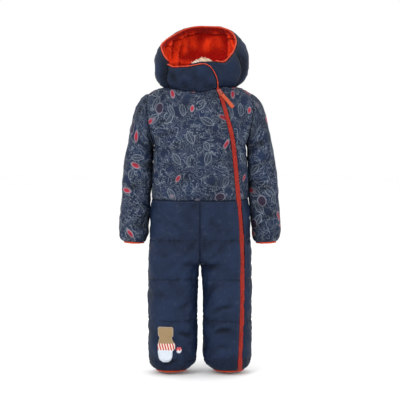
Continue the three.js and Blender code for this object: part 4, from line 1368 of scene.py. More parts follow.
class Workshop:
    """Makes objects of finished cloth and keeps what the whole garment shares."""

    def __init__(self) -> None:
        """Makes the finishes and the node trees once."""
        shells = (PLAIN, PRINTED, RED_PLUSH, CREAM_PLUSH, BINDING, LINING_CLOTH, BADGE_FELT, RED_FELT)
        finishes = (*shells, ZIP_TAPE, COIL, ENAMEL, PULLER, NAVY_THREAD, RED_THREAD, PALE_THREAD)
        self.materials = {f.name: f.make() for f in finishes}
        self.repeat = RepeatTree()
        self.pile = PileTree()

    def dress(self, piece: Piece, finish: Finish, slot: str, body: str = GARMENT) -> Piece:
        """Gives a piece its finish and the body that it rides on.

        Args:
            piece: The piece.
            finish: One of the finishes.
            slot: Not used.
            body: The body it moves with.

        Returns:
            The piece.
        """
        piece.data.materials.clear()
        piece.data.materials.append(self.materials[finish.name])
        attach(piece, body)
        LOG.info("%s: %d faces, %s", piece.name, len(piece.data.polygons), finish.name)
        return piece

    def sew(self, name: str, lines: Sequence[Line], finish: Finish, slot: str, **sizes: float) -> Piece:
        """Sets stitches or teeth along lines.

        Args:
            name: The piece's name.
            lines: The paths.
            finish: The thread's finish.
            slot: The record's slot.
            **sizes: Values of the tree's inputs, in metres or radians.

        Returns:
            The piece.
        """
        points = np.concatenate([line.points for line in lines])
        ups = np.concatenate([line.up for line in lines])
        edges, start = [], 0
        for line in lines:
            count = len(line.points)
            edges += [(start + k, start + k + 1) for k in range(count - 1)]
            start += count
        mesh = bpy.data.meshes.new(name)
        mesh.from_pydata((points * MM).tolist(), edges, [])
        layer = mesh.attributes.new("up", "FLOAT_VECTOR", "POINT")
        layer.data.foreach_set("vector", ups.astype(np.float32).ravel())
        piece = linked(name, mesh)
        values = {"Pitch": 0.0042, "Length": 0.0031, "Width": 0.0007, "Height": 0.0006}
        values.update({"Turn": 0.0, "Jitter": 0.12})
        values.update({key.capitalize(): value for key, value in sizes.items()})
        self.repeat.apply(piece, {**values, "Seed": len(name), "Finish": self.materials[finish.name]})
        return self.dress(piece, finish, slot)

    def grow(self, name: str, bed: Made, finish: PlushFinish, slot: str, **sizes: float) -> Piece:
        """Grows a pile on a bed of faces.

        Args:
            name: The piece's name.
            bed: The faces, turned to the side the pile stands on.
            finish: The pile's finish.
            slot: The record's slot.
            **sizes: Values of the tree's inputs.

        Returns:
            The pile.
        """
        piece = new_object(name, bed)
        values: dict[str, object] = {"Density": 60000.0, "Length": 0.0055, "Width": 0.0011}
        values.update({key.capitalize(): value for key, value in sizes.items()})
        values.update({"Lean": 0.6, "Seed": len(name), "Finish": self.materials[finish.name]})
        self.pile.apply(piece, values)
        return self.dress(piece, finish, slot)


def seam_relief(grid: Grid, seeds: Seeds, roll: float = 1.0, reach: float = 15.0) -> Array:
    """Returns the cloth's fall into its seams, with gathers along those that have a seed.

    Args:
        grid: The panel's grid.
        seeds: A seed for each edge that is gathered.
        roll: How far the edge is drawn in.
        reach: How far the gathers run into the panel.

    Returns:
        Heights in millimetres.
    """
    total = -roll * soft(grid.edge(), 2.4) - 0.35 * roll * soft(grid.edge(), 8.0)
    for edge, seed in seeds.items():
        along = grid.from_low if edge in ("first", "last") else grid.from_first
        total += Puckers(seed, reach=reach).height(along, grid.away(edge))
    return total


def hollow_lined(piece: Piece, grid: Grid, columns: int, margin: float, material: bpy.types.Material) -> None:
    """Gives the inner faces of a wall the lining's finish.

    Args:
        piece: The piece, whose outer faces come first and its inner ones next.
        grid: The panel's grid.
        columns: How many columns of faces it has.
        margin: How wide the shell cloth is turned in along its edges.
        material: The lining's finish.
    """
    inner = (grid.edge()[:-1, :columns] >= margin).ravel()
    piece.data.materials.append(material)
    index = np.zeros(len(piece.data.polygons), np.int32)
    index[len(inner) : 2 * len(inner)] = inner
    piece.data.polygons.foreach_set("material_index", index)


# Creases of each panel: start x and z, end x and z, depth, width, bow
TOP_FRONT_CREASES = (
    (-104, -118, -52, -96, 2.4, 7, 5), (-104, -140, -40, -128, 2.0, 8, -4),
    (-100, -84, -58, -60, 1.8, 6, 4), (-20, -60, 34, -104, 1.3, 8, 6),
    (-70, -205, -6, -188, 1.5, 9, -5), (-96, -182, -58, -170, 1.6, 7, 3),
    (20, -228, 72, -204, 1.6, 8, 5), (8, -150, 66, -164, 1.4, 9, -6),
    (-44, -236, -30, -204, 1.3, 6, 2),
)
TOP_BACK_CREASES = (
    (-104, -122, -46, -100, 2.3, 7, 5), (104, -124, 50, -98, 2.3, 7, -5),
    (-60, -60, 30, -72, 1.6, 10, 6), (-88, -178, -20, -168, 1.7, 8, -5),
    (18, -196, 92, -182, 1.7, 8, 5), (-40, -228, 44, -216, 1.6, 8, -6),
    (60, -232, 96, -216, 1.5, 6, 3),
)
LEG_CREASES = (
    (-104, -300, -40, -322, 1.8, 8, 6), (-100, -384, -58, -372, 2.0, 7, -4),
    (-46, -424, -8, -390, 2.0, 6, 4), (6, -402, 50, -360, 3.0, 6, -4),
    (8, -418, 38, -402, 2.2, 5, -3), (-30, -372, -8, -352, 1.4, 6, 2),
    (-104, -470, -62, -488, 1.8, 7, 4), (-58, -506, -18, -492, 1.7, 7, -4),
    (-92, -575, -40, -590, 1.8, 8, 5), (-92, -648, -52, -634, 2.0, 6, 4),
    (22, -522, 76, -502, 4.4, 5, 5), (30, -568, 74, -560, 4.2, 5, 5),
    (-54, -562, -12, -570, 3.2, 5, -3), (-98, -634, -44, -622, 2.6, 5, -4),
    (40, -590, 82, -600, 1.9, 6, -4), (20, -470, 52, -452, 1.7, 7, 4),
    (28, -610, 74, -596, 1.8, 7, 5), (50, -330, 88, -306, 1.7, 7, -4),
    (14, -300, 44, -322, 1.5, 8, 4),
)
SLEEVE_CREASES = (
    (112, -150, 150, -118, 2.6, 7, 5), (114, -176, 166, -160, 2.2, 8, -5),
    (118, -214, 160, -226, 2.4, 7, 5), (134, -238, 182, -222, 2.2, 7, 4),
    (122, -262, 166, -272, 2.0, 7, -4), (140, -298, 186, -288, 1.9, 6, 4),
    (126, -322, 160, -314, 1.8, 6, 3), (128, -62, 152, -92, 1.7, 7, 3),
)


def creased(points: Array, table: Sequence[tuple]) -> Array:
    """Returns the height of a table of creases at each point."""
    return sum((Crease(*row).height(points) for row in table), np.zeros(points.shape[:-1]))


@dataclass
class Panel:
    """A finished panel of the shell: its grid, its outer points and their heights."""

    grid: Grid
    outside: Array
    relief: Array

    def stitches(self, edges: Sequence[str], inset: float = STITCH_INSET) -> list[Line]:
        """Returns the lines of stitches beside some edges of the panel."""
        return [line_on(self.grid, self.outside, edge, inset).lifted(STITCH_RISE) for edge in edges]

    def height_at(self, rows: Array, columns: Array) -> Array:
        """Returns the panel's height at rows and columns between its own."""
        r, c = self.grid.r[:, 0], self.grid.c[0]
        j = np.clip(np.searchsorted(r, rows) - 1, 0, len(r) - 2)
        i = np.clip(np.searchsorted(c, columns) - 1, 0, len(c) - 2)
        a, b = (rows - r[j]) / (r[j + 1] - r[j]), (columns - c[i]) / (c[i + 1] - c[i])
        low = self.relief[j, i] * (1 - b) + self.relief[j, i + 1] * b
        high = self.relief[j + 1, i] * (1 - b) + self.relief[j + 1, i + 1] * b
        return low * (1 - a) + high * a


def shell_panel(
    shop: Workshop,
    name: str,
    grid: Grid,
    relief: Array,
    finish: ShellFinish,
    slot: str,
    lift: Array | None = None,
) -> Panel:
    """Makes one padded panel of the shell that replaces its solid.

    Args:
        shop: The workshop.
        name: The node that it replaces.
        grid: Its grid.
        relief: Its height over the surface.
        finish: Its cloth.
        slot: The record's slot.
        lift: How far the whole wall stands off the surface.

    Returns:
        The panel.
    """
    raised = np.zeros_like(relief) if lift is None else lift
    piece = new_object(name + "_cloth", wall_of(grid, raised, relief, WALL))
    shop.dress(piece, finish, slot)
    hollow_lined(piece, grid, grid.p.shape[1] - 1, 0.0, shop.materials[LINING_CLOTH.name])
    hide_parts(name)
    return Panel(grid, grid.raised(raised + relief), relief)


def declare(grid: Grid) -> None:
    """Works out the area of a sheet of cloth, and keeps nothing of it.

    Args:
        grid: Its grid.
    """
    a, b = grid.p[1:, 1:] - grid.p[:-1, :-1], grid.p[1:, :-1] - grid.p[:-1, 1:]
    area = float(np.linalg.norm(np.cross(a, b), axis=-1).sum() / 2) * MM * MM


@dataclass
class Top:
    """The printed upper body: two fronts beside the zip, and the back."""

    shop: Workshop
    rise: float = 2.2
    side_rise: float = 1.2
    rows_below: int = 44
    rows_above: int = 56
    columns: dict[str, int] = field(default_factory=lambda: {"right": 70, "left": 16, "back": 96})

    def rows(self) -> Array:
        """Returns the rows, below the armpit and up the yoke."""
        yoke = np.sin(np.linspace(0, 1, self.rows_above) * np.pi / 2)
        return np.concatenate([np.linspace(-1, 0, self.rows_below)[:-1], yoke])

    def grid(self, face: Face, columns: int, start: Callable, stop: Callable, seams: dict) -> Grid:
        """Lays out one panel.

        Args:
            face: The side of the body.
            columns: How many columns it has.
            start: Share of the width where it starts, for each row.
            stop: Share of the width where it stops.
            seams: How its edges are turned.

        Returns:
            The grid.
        """

        def at(w: Array, c: Array) -> Array:
            """Returns the panel's points."""
            a, b = (np.arccos(np.clip(edge(w), -1, 1)) for edge in (start, stop))
            return BODY.upper(face, w, np.cos(a + (b - a) * c))

        return lay_out(at, self.rows(), np.linspace(0, 1, columns), body_core, seams)

    def relief(self, grid: Grid, seeds: Seeds, creases: Sequence[tuple], seed: int) -> Array:
        """Returns one panel's height: padding, gathers, creases and an uneven fill."""
        swell = np.sqrt(np.maximum(0, np.sin(np.pi * grid.c) * np.sin(np.pi * (grid.r + 1) / 2)))
        calm = ease(grid.edge() / 9)
        under_arm = np.sin(np.pi * np.clip(-grid.r, 0, 1)) ** 0.5
        sides = self.side_rise * under_arm * ease((np.abs(grid.p[..., 0]) - 72) / 24)
        folds = calm * (uneven(grid.p, seed, (0.75, 46), (0.3, 17)) + creased(grid.p, creases))
        return self.rise * swell + sides + seam_relief(grid, seeds) + folds

    def build(self) -> dict[str, Panel]:
        """Makes the three panels and the seams between them."""
        low_side = {"low": level_seam, "high": shoulder_seam}
        gap = 1 + SEAM_GAP
        right = self.grid(
            Face.FRONT,
            self.columns["right"],
            lambda w: np.full_like(w, -1.0),
            lambda w: BODY.zip_share(w, -gap),
            {**low_side, "first": top_seam},
        )
        left = self.grid(
            Face.FRONT,
            self.columns["left"],
            lambda w: BODY.zip_share(w, gap),
            lambda w: np.full_like(w, 1.0),
            {**low_side, "last": top_seam},
        )
        back = self.grid(
            Face.BACK,
            self.columns["back"],
            lambda w: np.full_like(w, -1.0),
            lambda w: np.full_like(w, 1.0),
            {**low_side, "first": top_seam, "last": top_seam},
        )
        rows = (
            ("top_front_right", right, (11, 12, 13, 14), TOP_FRONT_CREASES, 21),
            ("top_front_left", left, (15, 16, 17, 18), (), 22),
            ("top_back", back, (11, 19, 13, 18), TOP_BACK_CREASES, 23),
        )
        panels = {}
        for name, grid, seeds, creases, seed in rows:
            edges = dict(zip(("low", "high", "first", "last"), seeds))
            relief = self.relief(grid, edges, creases, seed)
            panels[name] = shell_panel(self.shop, name, grid, relief, PRINTED, "shell_print")
        lines: list[Line] = []
        for name, edges in (
            ("top_front_right", ("low", "last", "high")),
            ("top_front_left", ("low", "first", "high")),
            ("top_back", ("low", "high")),
        ):
            lines += panels[name].stitches(edges)
        self.shop.sew("top_stitching", lines, NAVY_THREAD, "shell_print")
        return panels


@dataclass
class Trousers:
    """The plain quilted legs: fronts, backs and the narrow side beside the zip."""

    shop: Workshop
    step: float = 3.1
    rise: float = 3.0
    thigh_rise: float = 3.2
    thigh_z: float = -432.0
    stitch_dip: float = 0.8

    def rows(self) -> Array:
        """Returns the heights of the rows, closer beside each quilting line."""
        lines = (*QUILT_LINES[1:], CROTCH_Z)
        return graded(LEG_END_Z, WAIST_Z - SEAM_GAP, self.step, lines)

    def grid(
        self, face: Face, side: float, columns: int, start: Callable, stop: Callable, seams: dict
    ) -> Grid:
        """Lays out one panel of a leg.

        Args:
            face: The side of the body.
            side: 1 for the wearer's left, -1 for the right.
            columns: How many columns it has.
            start: Angle of its outer edge at each height.
            stop: Angle of its inner edge.
            seams: How its edges are turned.

        Returns:
            The grid.
        """

        def at(z: Array, c: Array) -> Array:
            """Returns the panel's points."""
            a, b = start(z), stop(z)
            return BODY.low(face, side, z, a + (b - a) * c)

        def inner(n: Array, r: Array) -> Array:
            """Returns directions turned level with the middle seam or, below the crotch, the inner leg."""
            return np.where((r > CROTCH_Z)[..., None], n * [0, 1, 1], n * [1, 0, 1])

        edges = {"low": level_seam, "high": level_seam, **seams, "last": inner}
        return lay_out(at, self.rows(), np.linspace(0, 1, columns), leg_core, edges)

    def zip_in(self, z: Array) -> Array:
        """Returns the angle of the front panel's edge beside the zip."""
        return BODY.angle_at(z, BODY.zip_x(z) - BODY.zip_half(z) - SEAM_GAP)

    def zip_out(self, z: Array) -> Array:
        """Returns the angle of the side panel's edge beside the zip."""
        return BODY.angle_at(z, BODY.zip_x(z) + BODY.zip_half(z) + SEAM_GAP)

    def quilt(self, z: Array, c: Array) -> Array:
        """Returns the puff of the padding between the quilting lines, drawn in at the stitches."""
        total = np.zeros(np.broadcast(z, c).shape)
        for high, low in zip(QUILT_LINES[:-1], QUILT_LINES[1:]):
            share = np.clip((z - low) / (high - low), 0, 1)
            total = np.where((z >= low) & (z <= high), np.sin(np.pi * share) ** 0.42, total)
        near_crotch = soft(z - CROTCH_Z, 14) * ease((c - 0.55) / 0.25)
        over = np.maximum(np.sin(np.pi * np.clip(c, 0, 1)), 0) ** 0.35
        return self.rise * total * over * (1 - near_crotch)

    def relief(self, grid: Grid, share: Array, seeds: Seeds, seed: int) -> Array:
        """Returns one panel's height: quilting, gathers along every line, creases and an uneven fill."""
        z = grid.p[..., 2]
        crotch = soft(z - CROTCH_Z, 24) * ease((share - 0.6) / 0.25)
        inner = ease(np.abs(grid.p[..., 0]) / 10)
        calm = ease(grid.edge() / 9) * (1 - 0.5 * crotch) * inner
        thigh = self.thigh_rise * soft(z - self.thigh_z, 20) * ease((share - 0.72) / 0.22) * (z < CROTCH_Z)
        total = self.quilt(z, share) + seam_relief(grid, seeds) * (0.35 + 0.65 * inner)
        for k, line in enumerate(QUILT_LINES[1:]):
            away = np.abs(z - line)
            gathers = Puckers(seed + 7 * k, spacing=9.5, reach=17, depth=0.95, width=2.4)
            total += calm * gathers.height(grid.from_first, away)
            total -= self.stitch_dip * soft(away, 1.6) * calm
        fill = uneven(grid.p, seed, (0.8, 42), (0.35, 16))
        return total + thigh + calm * (fill + creased(grid.p, LEG_CREASES))

    def build(self) -> dict[str, Panel]:
        """Makes the five panels with their quilting and stitches."""
        side = {"first": side_seam}
        rows = (
            ("leg_front_right", Face.FRONT, -1.0, 62, None, None, side, 31),
            ("leg_back_right", Face.BACK, -1.0, 62, None, None, side, 32),
            ("leg_back_left", Face.BACK, 1.0, 62, None, None, side, 33),
            ("leg_front_left", Face.FRONT, 1.0, 48, self.zip_in, None, {}, 34),
            ("leg_front_left_side", Face.FRONT, 1.0, 18, None, self.zip_out, side, 35),
        )
        panels, lines, quilting = {}, [], []
        for name, face, way, columns, start, stop, seams, seed in rows:
            outer = start or np.zeros_like
            inner = stop or BODY.inner_angle
            grid = self.grid(face, way, columns, outer, inner, seams)
            share = grid.c
            if start is not None:
                share = 0.5 + grid.c / 2
            elif stop is not None:
                share = grid.c / 2
            seeds = {"high": 11, "low": 40 + seed, "first": 50 + int(way), "last": 60 + seed}
            relief = self.relief(grid, share, seeds, seed)
            panel = shell_panel(self.shop, name, grid, relief, PLAIN, "shell_plain")
            panels[name] = panel
            quilting += [row_line(grid, panel.outside, z).lifted(0.1) for z in QUILT_LINES[1:]]
            lines += panel.stitches(["high"], 4.0)
            lines += panel.stitches(["first"] * (start is not None) + ["last"] * (stop is not None))
        self.shop.sew("leg_quilting", quilting, NAVY_THREAD, "shell_plain")
        self.shop.sew("leg_stitching", lines, NAVY_THREAD, "shell_plain")
        return panels


@dataclass
class Sleeves:
    """The two printed sleeves, each one tube from the armhole to the cuff."""

    shop: Workshop
    rings: int = 120
    around: int = 84
    inner_shade: float = 2.8
    print_shift: tuple[float, float] = (137.0, 61.0)

    def ring_curves(self) -> list[Curve]:
        """Returns the curves of the sleeve's table by ring number."""
        numbered = [(k, *row) for k, row in enumerate(SLEEVE_ROWS)]
        return [Curve(numbered, column) for column in range(1, 7)]

    def loop(self) -> tuple[Array, ...]:
        """Returns the armhole's shares outward, off its chord and in depth, and the same of an oval."""
        half = self.around // 2
        t = np.linspace(0, 1, half + 1)
        v = np.concatenate([np.sin(t * np.pi / 2), np.sin(t[1:-1][::-1] * np.pi / 2)])
        turn = np.pi * (1 - np.concatenate([t, t[1:-1][::-1]]))
        way = np.concatenate([np.full(half + 1, -1.0), np.full(half - 1, 1.0)])
        at = BODY.yoke(Face.BACK, v, np.ones_like(v))
        at[:, 1] *= way
        xi, zi, xo, zo, deep, _ = SLEEVE_ROWS[0]
        chord = np.array([xo - xi, zo - zi])
        reach = np.stack([at[:, 0] - xi, at[:, 2] - zi], axis=-1)
        out = reach @ chord / (chord @ chord)
        off = (reach[:, 0] * chord[1] - reach[:, 1] * chord[0]) / np.hypot(*chord)
        return out, off, at[:, 1] / deep, (1 + np.cos(turn)) / 2, way * np.sin(turn)

    def grid(self) -> Grid:
        """Lays out the wearer's left sleeve."""
        j = np.linspace(0, len(SLEEVE_ROWS) - 1, self.rings)
        xi, zi, xo, zo, deep, oval = (curve(j)[:, None] for curve in self.ring_curves())
        out, off, sunk, oval_out, oval_deep = (part[None] for part in self.loop())
        length = np.hypot(xo - xi, zo - zi)
        share = out + (oval_out - out) * oval
        x = xi + (xo - xi) * share + (zo - zi) / length * off * (1 - oval) + SEAM_GAP
        z = zi + (zo - zi) * share - (xo - xi) / length * off * (1 - oval)
        p = stack(x, deep * (sunk + (oval_deep - sunk) * oval), z)
        across = np.roll(p, -1, 1) - np.roll(p, 1, 1)
        along = np.gradient(p, axis=0)
        n = unit(np.cross(across, along))
        n = turned_to(n, p - p.mean(1, keepdims=True))
        weight = soft(j, 0.5)[:, None, None]
        n = unit(n + (unit(n * [0, 1, 1]) - n) * weight)
        down = distances(p, 0)
        p[..., 2] -= CUFF_DROP * (1 - ease((down[-1:] - down) / 32))
        around, down = distances(p, 1), distances(p, 0)
        r, c = np.broadcast_to(j[:, None], x.shape), np.broadcast_to(oval_out, x.shape)
        return Grid(p, n, r, c, around, around[:, -1:] - around, down, down[-1:] - down)

    def relief(self, grid: Grid, seed: int) -> Array:
        """Returns the sleeve's height: a rise on its outer side, gathers at both ends, creases."""
        rise = (1.4 + 0.5 * (1 - ease(grid.c * 2))) * np.sin(np.pi * grid.r / (len(SLEEVE_ROWS) - 1)) ** 0.5
        ends = grid.ends()
        total = rise - 0.6 * soft(ends, 2.4) - 0.2 * soft(ends, 8)
        blend = ease(grid.sides() / 12)
        total += blend * Puckers(seed, 9, 17, 0.9, 2.4).height(grid.from_first, grid.from_low)
        total += blend * Puckers(seed + 1, 7.5, 20, 1.25, 2.3).height(grid.from_first, grid.from_high)
        total -= 0.5 * soft(grid.sides(), 2.2) * ease(ends / 6)
        calm = ease(ends / 12)
        fill = uneven(grid.p, seed + 2, (0.8, 38), (0.35, 15))
        lay = 0.65 + 0.35 * (grid.p[..., 1] < 0)
        return total + calm * (fill + lay * creased(grid.p, SLEEVE_CREASES))

    def build(self) -> None:
        """Makes both sleeves and the stitches at their ends."""
        for name, side, seed in (("sleeve_left", 1.0, 71), ("sleeve_right", -1.0, 76)):
            grid = self.grid()
            relief = self.relief(grid, seed)
            turn = np.array([side, 1.0, 1.0])
            grid.p, grid.n = grid.p * turn, grid.n * turn
            made = wall_of(grid, np.zeros_like(relief), relief, WALL, True)
            # Painted shade on the sleeve's inner side beside the body: its shading height is lowered there,
            # so the finish darkens it.
            painted_sleeve_shadow = self.inner_shade * (1 - ease(grid.c / 0.4)) * ease(grid.ends() / 24)
            made.values["shading_height"] = np.concatenate([(relief - painted_sleeve_shadow).ravel(), np.zeros(relief.size)])
            made.uv += np.array(self.print_shift) * (side < 0)
            piece = new_object(name + "_cloth", made)
            self.shop.dress(piece, PRINTED, "shell_print")
            inside = self.shop.materials[LINING_CLOTH.name]
            hollow_lined(piece, grid, grid.p.shape[1], SEAM_TURN, inside)
            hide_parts(name)
            outside = grid.raised(relief)
            lines = [
                line_on(grid, outside, "low", 4.4, 0.0).lifted(STITCH_RISE),
                line_on(grid, outside, "high", STITCH_INSET, 0.0).lifted(STITCH_RISE),
            ]
            self.shop.sew(name + "_stitching", lines, NAVY_THREAD, "shell_print")


@dataclass
class Hood:
    """The plain hood, its two lapping chin flaps and the plush that lines it."""

    shop: Workshop
    columns_per_degree: float = 0.62
    shell_rows: int = 66
    flap_rows: int = 46
    lining_rows: int = 46
    rise: float = 1.9
    flap_top: float = 0.88
    cream_start: float = 161.3
    cream_span: float = 39.4
    cream_peak: float = 0.42

    def grid(
        self,
        rows: Array,
        start: float,
        stop: Callable | float,
        gap: float = 0.03,
        low: bool = True,
        close: float = 1.0,
    ) -> Grid:
        """Lays out one panel of the hood.

        Args:
            rows: Shares of the height.
            start: Angle where it starts, in degrees.
            stop: Angle where it ends, or its angle by share of the height.
            gap: Half of the gap to the next panel, in degrees.
            low: Whether its low edge lies in the neck seam.
            close: How many times closer than usual its columns stand.

        Returns:
            The grid.
        """
        end = stop if callable(stop) else lambda v: np.full_like(v, stop)

        def at(v: Array, c: Array) -> Array:
            """Returns the panel's points."""
            room = gap * (1 - 0.35 * v)
            a, b = start + room, end(v) - room
            return HOOD.point(v, a + (b - a) * c)

        span = abs(float(end(np.array([0.5]))[0]) - start)
        columns = np.linspace(0, 1, max(8, int(span * self.columns_per_degree * close)))
        return lay_out(at, rows, columns, hood_core, {"low": level_seam} if low else {})

    def angles(self, grid: Grid, start: float, stop: Callable | float) -> Array:
        """Returns the angle round the neck of each point of a panel."""
        end = stop(grid.r) if callable(stop) else stop
        return start + (end - start) * grid.c

    def shell(self) -> None:
        """Makes the hood's three panels."""
        rows = np.linspace(0, 1, self.shell_rows)
        panels = (
            ("hood_side_left", RIGHT_FRONT, RIGHT_TOP, {"low": 12, "first": 81, "last": 82}, 83),
            ("hood_centre", RIGHT_TOP, LEFT_TOP, {"low": 84, "first": 82, "last": 85}, 86),
            ("hood_side_right", LEFT_TOP, 360 + FLAP_SIDE, {"low": 12, "first": 85, "last": 87}, 88),
        )
        lines = []
        for name, start, stop, seeds, seed in panels:
            grid = self.grid(rows, start, stop)
            swell = np.maximum(0, np.sin(np.pi * grid.c) * np.sin(np.pi * grid.r)) ** 0.5
            calm = ease(grid.edge() / 10)
            relief = self.rise * swell + 0.8 * seam_relief(grid, seeds, 1.2, 13)
            relief += calm * uneven(grid.p, seed, (0.9, 44), (0.35, 16))
            relief = relief * ease(grid.from_high / 26) - 2.4 * soft(grid.from_high, 8)
            # The hollow is also the wall's lift, so the finish paints shade into it.
            hollow = HOOD.hollow(grid.r, self.angles(grid, start, stop))
            panel = shell_panel(self.shop, name, grid, relief, PLAIN, "shell_plain", hollow)
            lines += panel.stitches(("first", "high"))
        self.shop.sew("hood_stitching", lines, NAVY_THREAD, "shell_plain")

    def flaps(self) -> None:
        """Makes the chin flap below and the one that laps over it."""
        under = self.grid(np.linspace(0, 1, self.flap_rows), UNDER_END, RIGHT_FRONT)
        relief = 0.7 * seam_relief(under, {"low": 16}, 1.4, 10)
        relief += ease(under.edge() / 9) * 0.35 * rolling(under.p, 91, 30)
        settled = np.where(under.c < 0.55, np.minimum(relief, 0.2), relief)
        settled -= 1.2 * soft(under.from_high, 5)
        # The hollows are also the flaps' lift, so the finish paints shade into them.
        hollow = HOOD.hollow(under.r, self.angles(under, UNDER_END, RIGHT_FRONT))
        shell_panel(self.shop, "chin_flap_under", under, settled, PLAIN, "shell_plain", hollow)
        over = self.grid(np.linspace(0, self.flap_top, self.flap_rows), FLAP_SIDE, HOOD.flap_end)
        hollow = HOOD.hollow(over.r, self.angles(over, FLAP_SIDE, HOOD.flap_end))
        lift = HOOD.flap_lift(over.r, over.c) + hollow
        relief = 0.8 * seam_relief(over, {"low": 12, "first": 87}, 1.5, 12)
        relief += ease(over.edge() / 10) * uneven(over.p, 93, (1.1, 34), (0.4, 14))
        panel = shell_panel(self.shop, "chin_flap_over", over, relief, PLAIN, "shell_plain", lift)
        lines = panel.stitches(("low", "last", "high"), 4.4)
        self.shop.sew("flap_stitching", lines, NAVY_THREAD, "shell_plain")

    def lining(self) -> None:
        """Makes the plush linings, each a soft wall with pile on its inner side."""
        rows = np.linspace(1 / 8, 1, self.lining_rows)
        red = (
            ("lining_side_left", RIGHT_FRONT, RIGHT_TOP),
            ("lining_centre", RIGHT_TOP, LEFT_TOP),
            ("lining_side_right", LEFT_TOP, 360 + FLAP_SIDE),
        )
        for name, start, stop in red:
            grid = self.grid(rows, start, stop, 0.05, False, 1.6)
            angles = self.angles(grid, start, stop)
            fall = HOOD.fold(grid.r, angles) * ease(grid.edge() / 5) - HOOD.hollow(grid.r, angles)
            lift = -(WALL + 0.4 + fall)
            self.plush(name, grid, lift, RED_PLUSH, "plush_red", {"length": 0.003})

        def place(v: Array, c: Array) -> tuple[Array, Array]:
            """Returns the share and angle of the cream lining, whose top edge is a lopsided arch."""
            peak = self.cream_peak
            steep = np.maximum(0, 1 - np.abs(c / peak - 1) ** 2.4) ** 0.6
            slow = np.maximum(0, 1 - np.abs((c - peak) / (1 - peak)) ** 1.5) ** 1.2
            top = 0.2 + 0.205 * np.where(c < peak, steep, slow) + 0.004 * np.sin(31 * c)
            return 0.1 + (top - 0.1) * v, self.cream_start + self.cream_span * c

        grid = lay_out(
            lambda v, c: HOOD.point(*place(v, c)), np.linspace(0, 1, 26), np.linspace(0, 1, 48), hood_core
        )
        swell = 1.6 * ease(grid.edge() / 8) * (1 + 0.5 * rolling(grid.p, 97, 14))
        tufts = {"length": 0.0042, "width": 0.0016}
        lift = -(WALL + LINING_WALL + 1.6 + swell + HOOD.fold(*place(grid.r, grid.c)))
        self.plush("neck_lining", grid, lift, CREAM_PLUSH, "plush_cream", tufts)

    def plush(
        self, name: str, grid: Grid, lift: Array, finish: PlushFinish, slot: str, sizes: dict
    ) -> None:
        """Makes one lining.

        Args:
            name: The node that it replaces.
            grid: Its grid on the hood's surface.
            lift: Where its back lies, off the hood's surface.
            finish: Its pile.
            slot: The record's slot.
            sizes: Sizes of its tufts, in metres.
        """
        made = wall_of(grid, lift, np.zeros_like(lift), LINING_WALL - 0.6)
        # Shading height of the lining: how far it hangs from the shell; the plush finish paints its raised
        # folds lighter from it.
        shading_height = np.tile((-lift - WALL).ravel(), 2)
        made.values["shading_height"] = shading_height
        piece = new_object(name + "_plush", made)
        self.shop.dress(piece, finish, slot)
        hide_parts(name)
        half = len(made.points) // 2
        inner = made.points[half:]
        rows, columns = grid.r.shape
        faces = quads(rows, columns)
        a, b, c, d = (inner[faces[:, k]] for k in range(4))
        inward = (np.cross(c - a, d - b) * grid.n.reshape(-1, 3)[faces[:, 0]]).sum() < 0
        bed = Made(inner, [faces if inward else faces[:, ::-1]], made.uv[:half], {"shading_height": shading_height[:half]})
        pile = self.shop.grow(name + "_pile", bed, finish, slot, **sizes)
        declare(grid)

    def build(self) -> None:
        """Makes the shell, the flaps and the linings."""
        self.shell()
        self.flaps()
        self.lining()


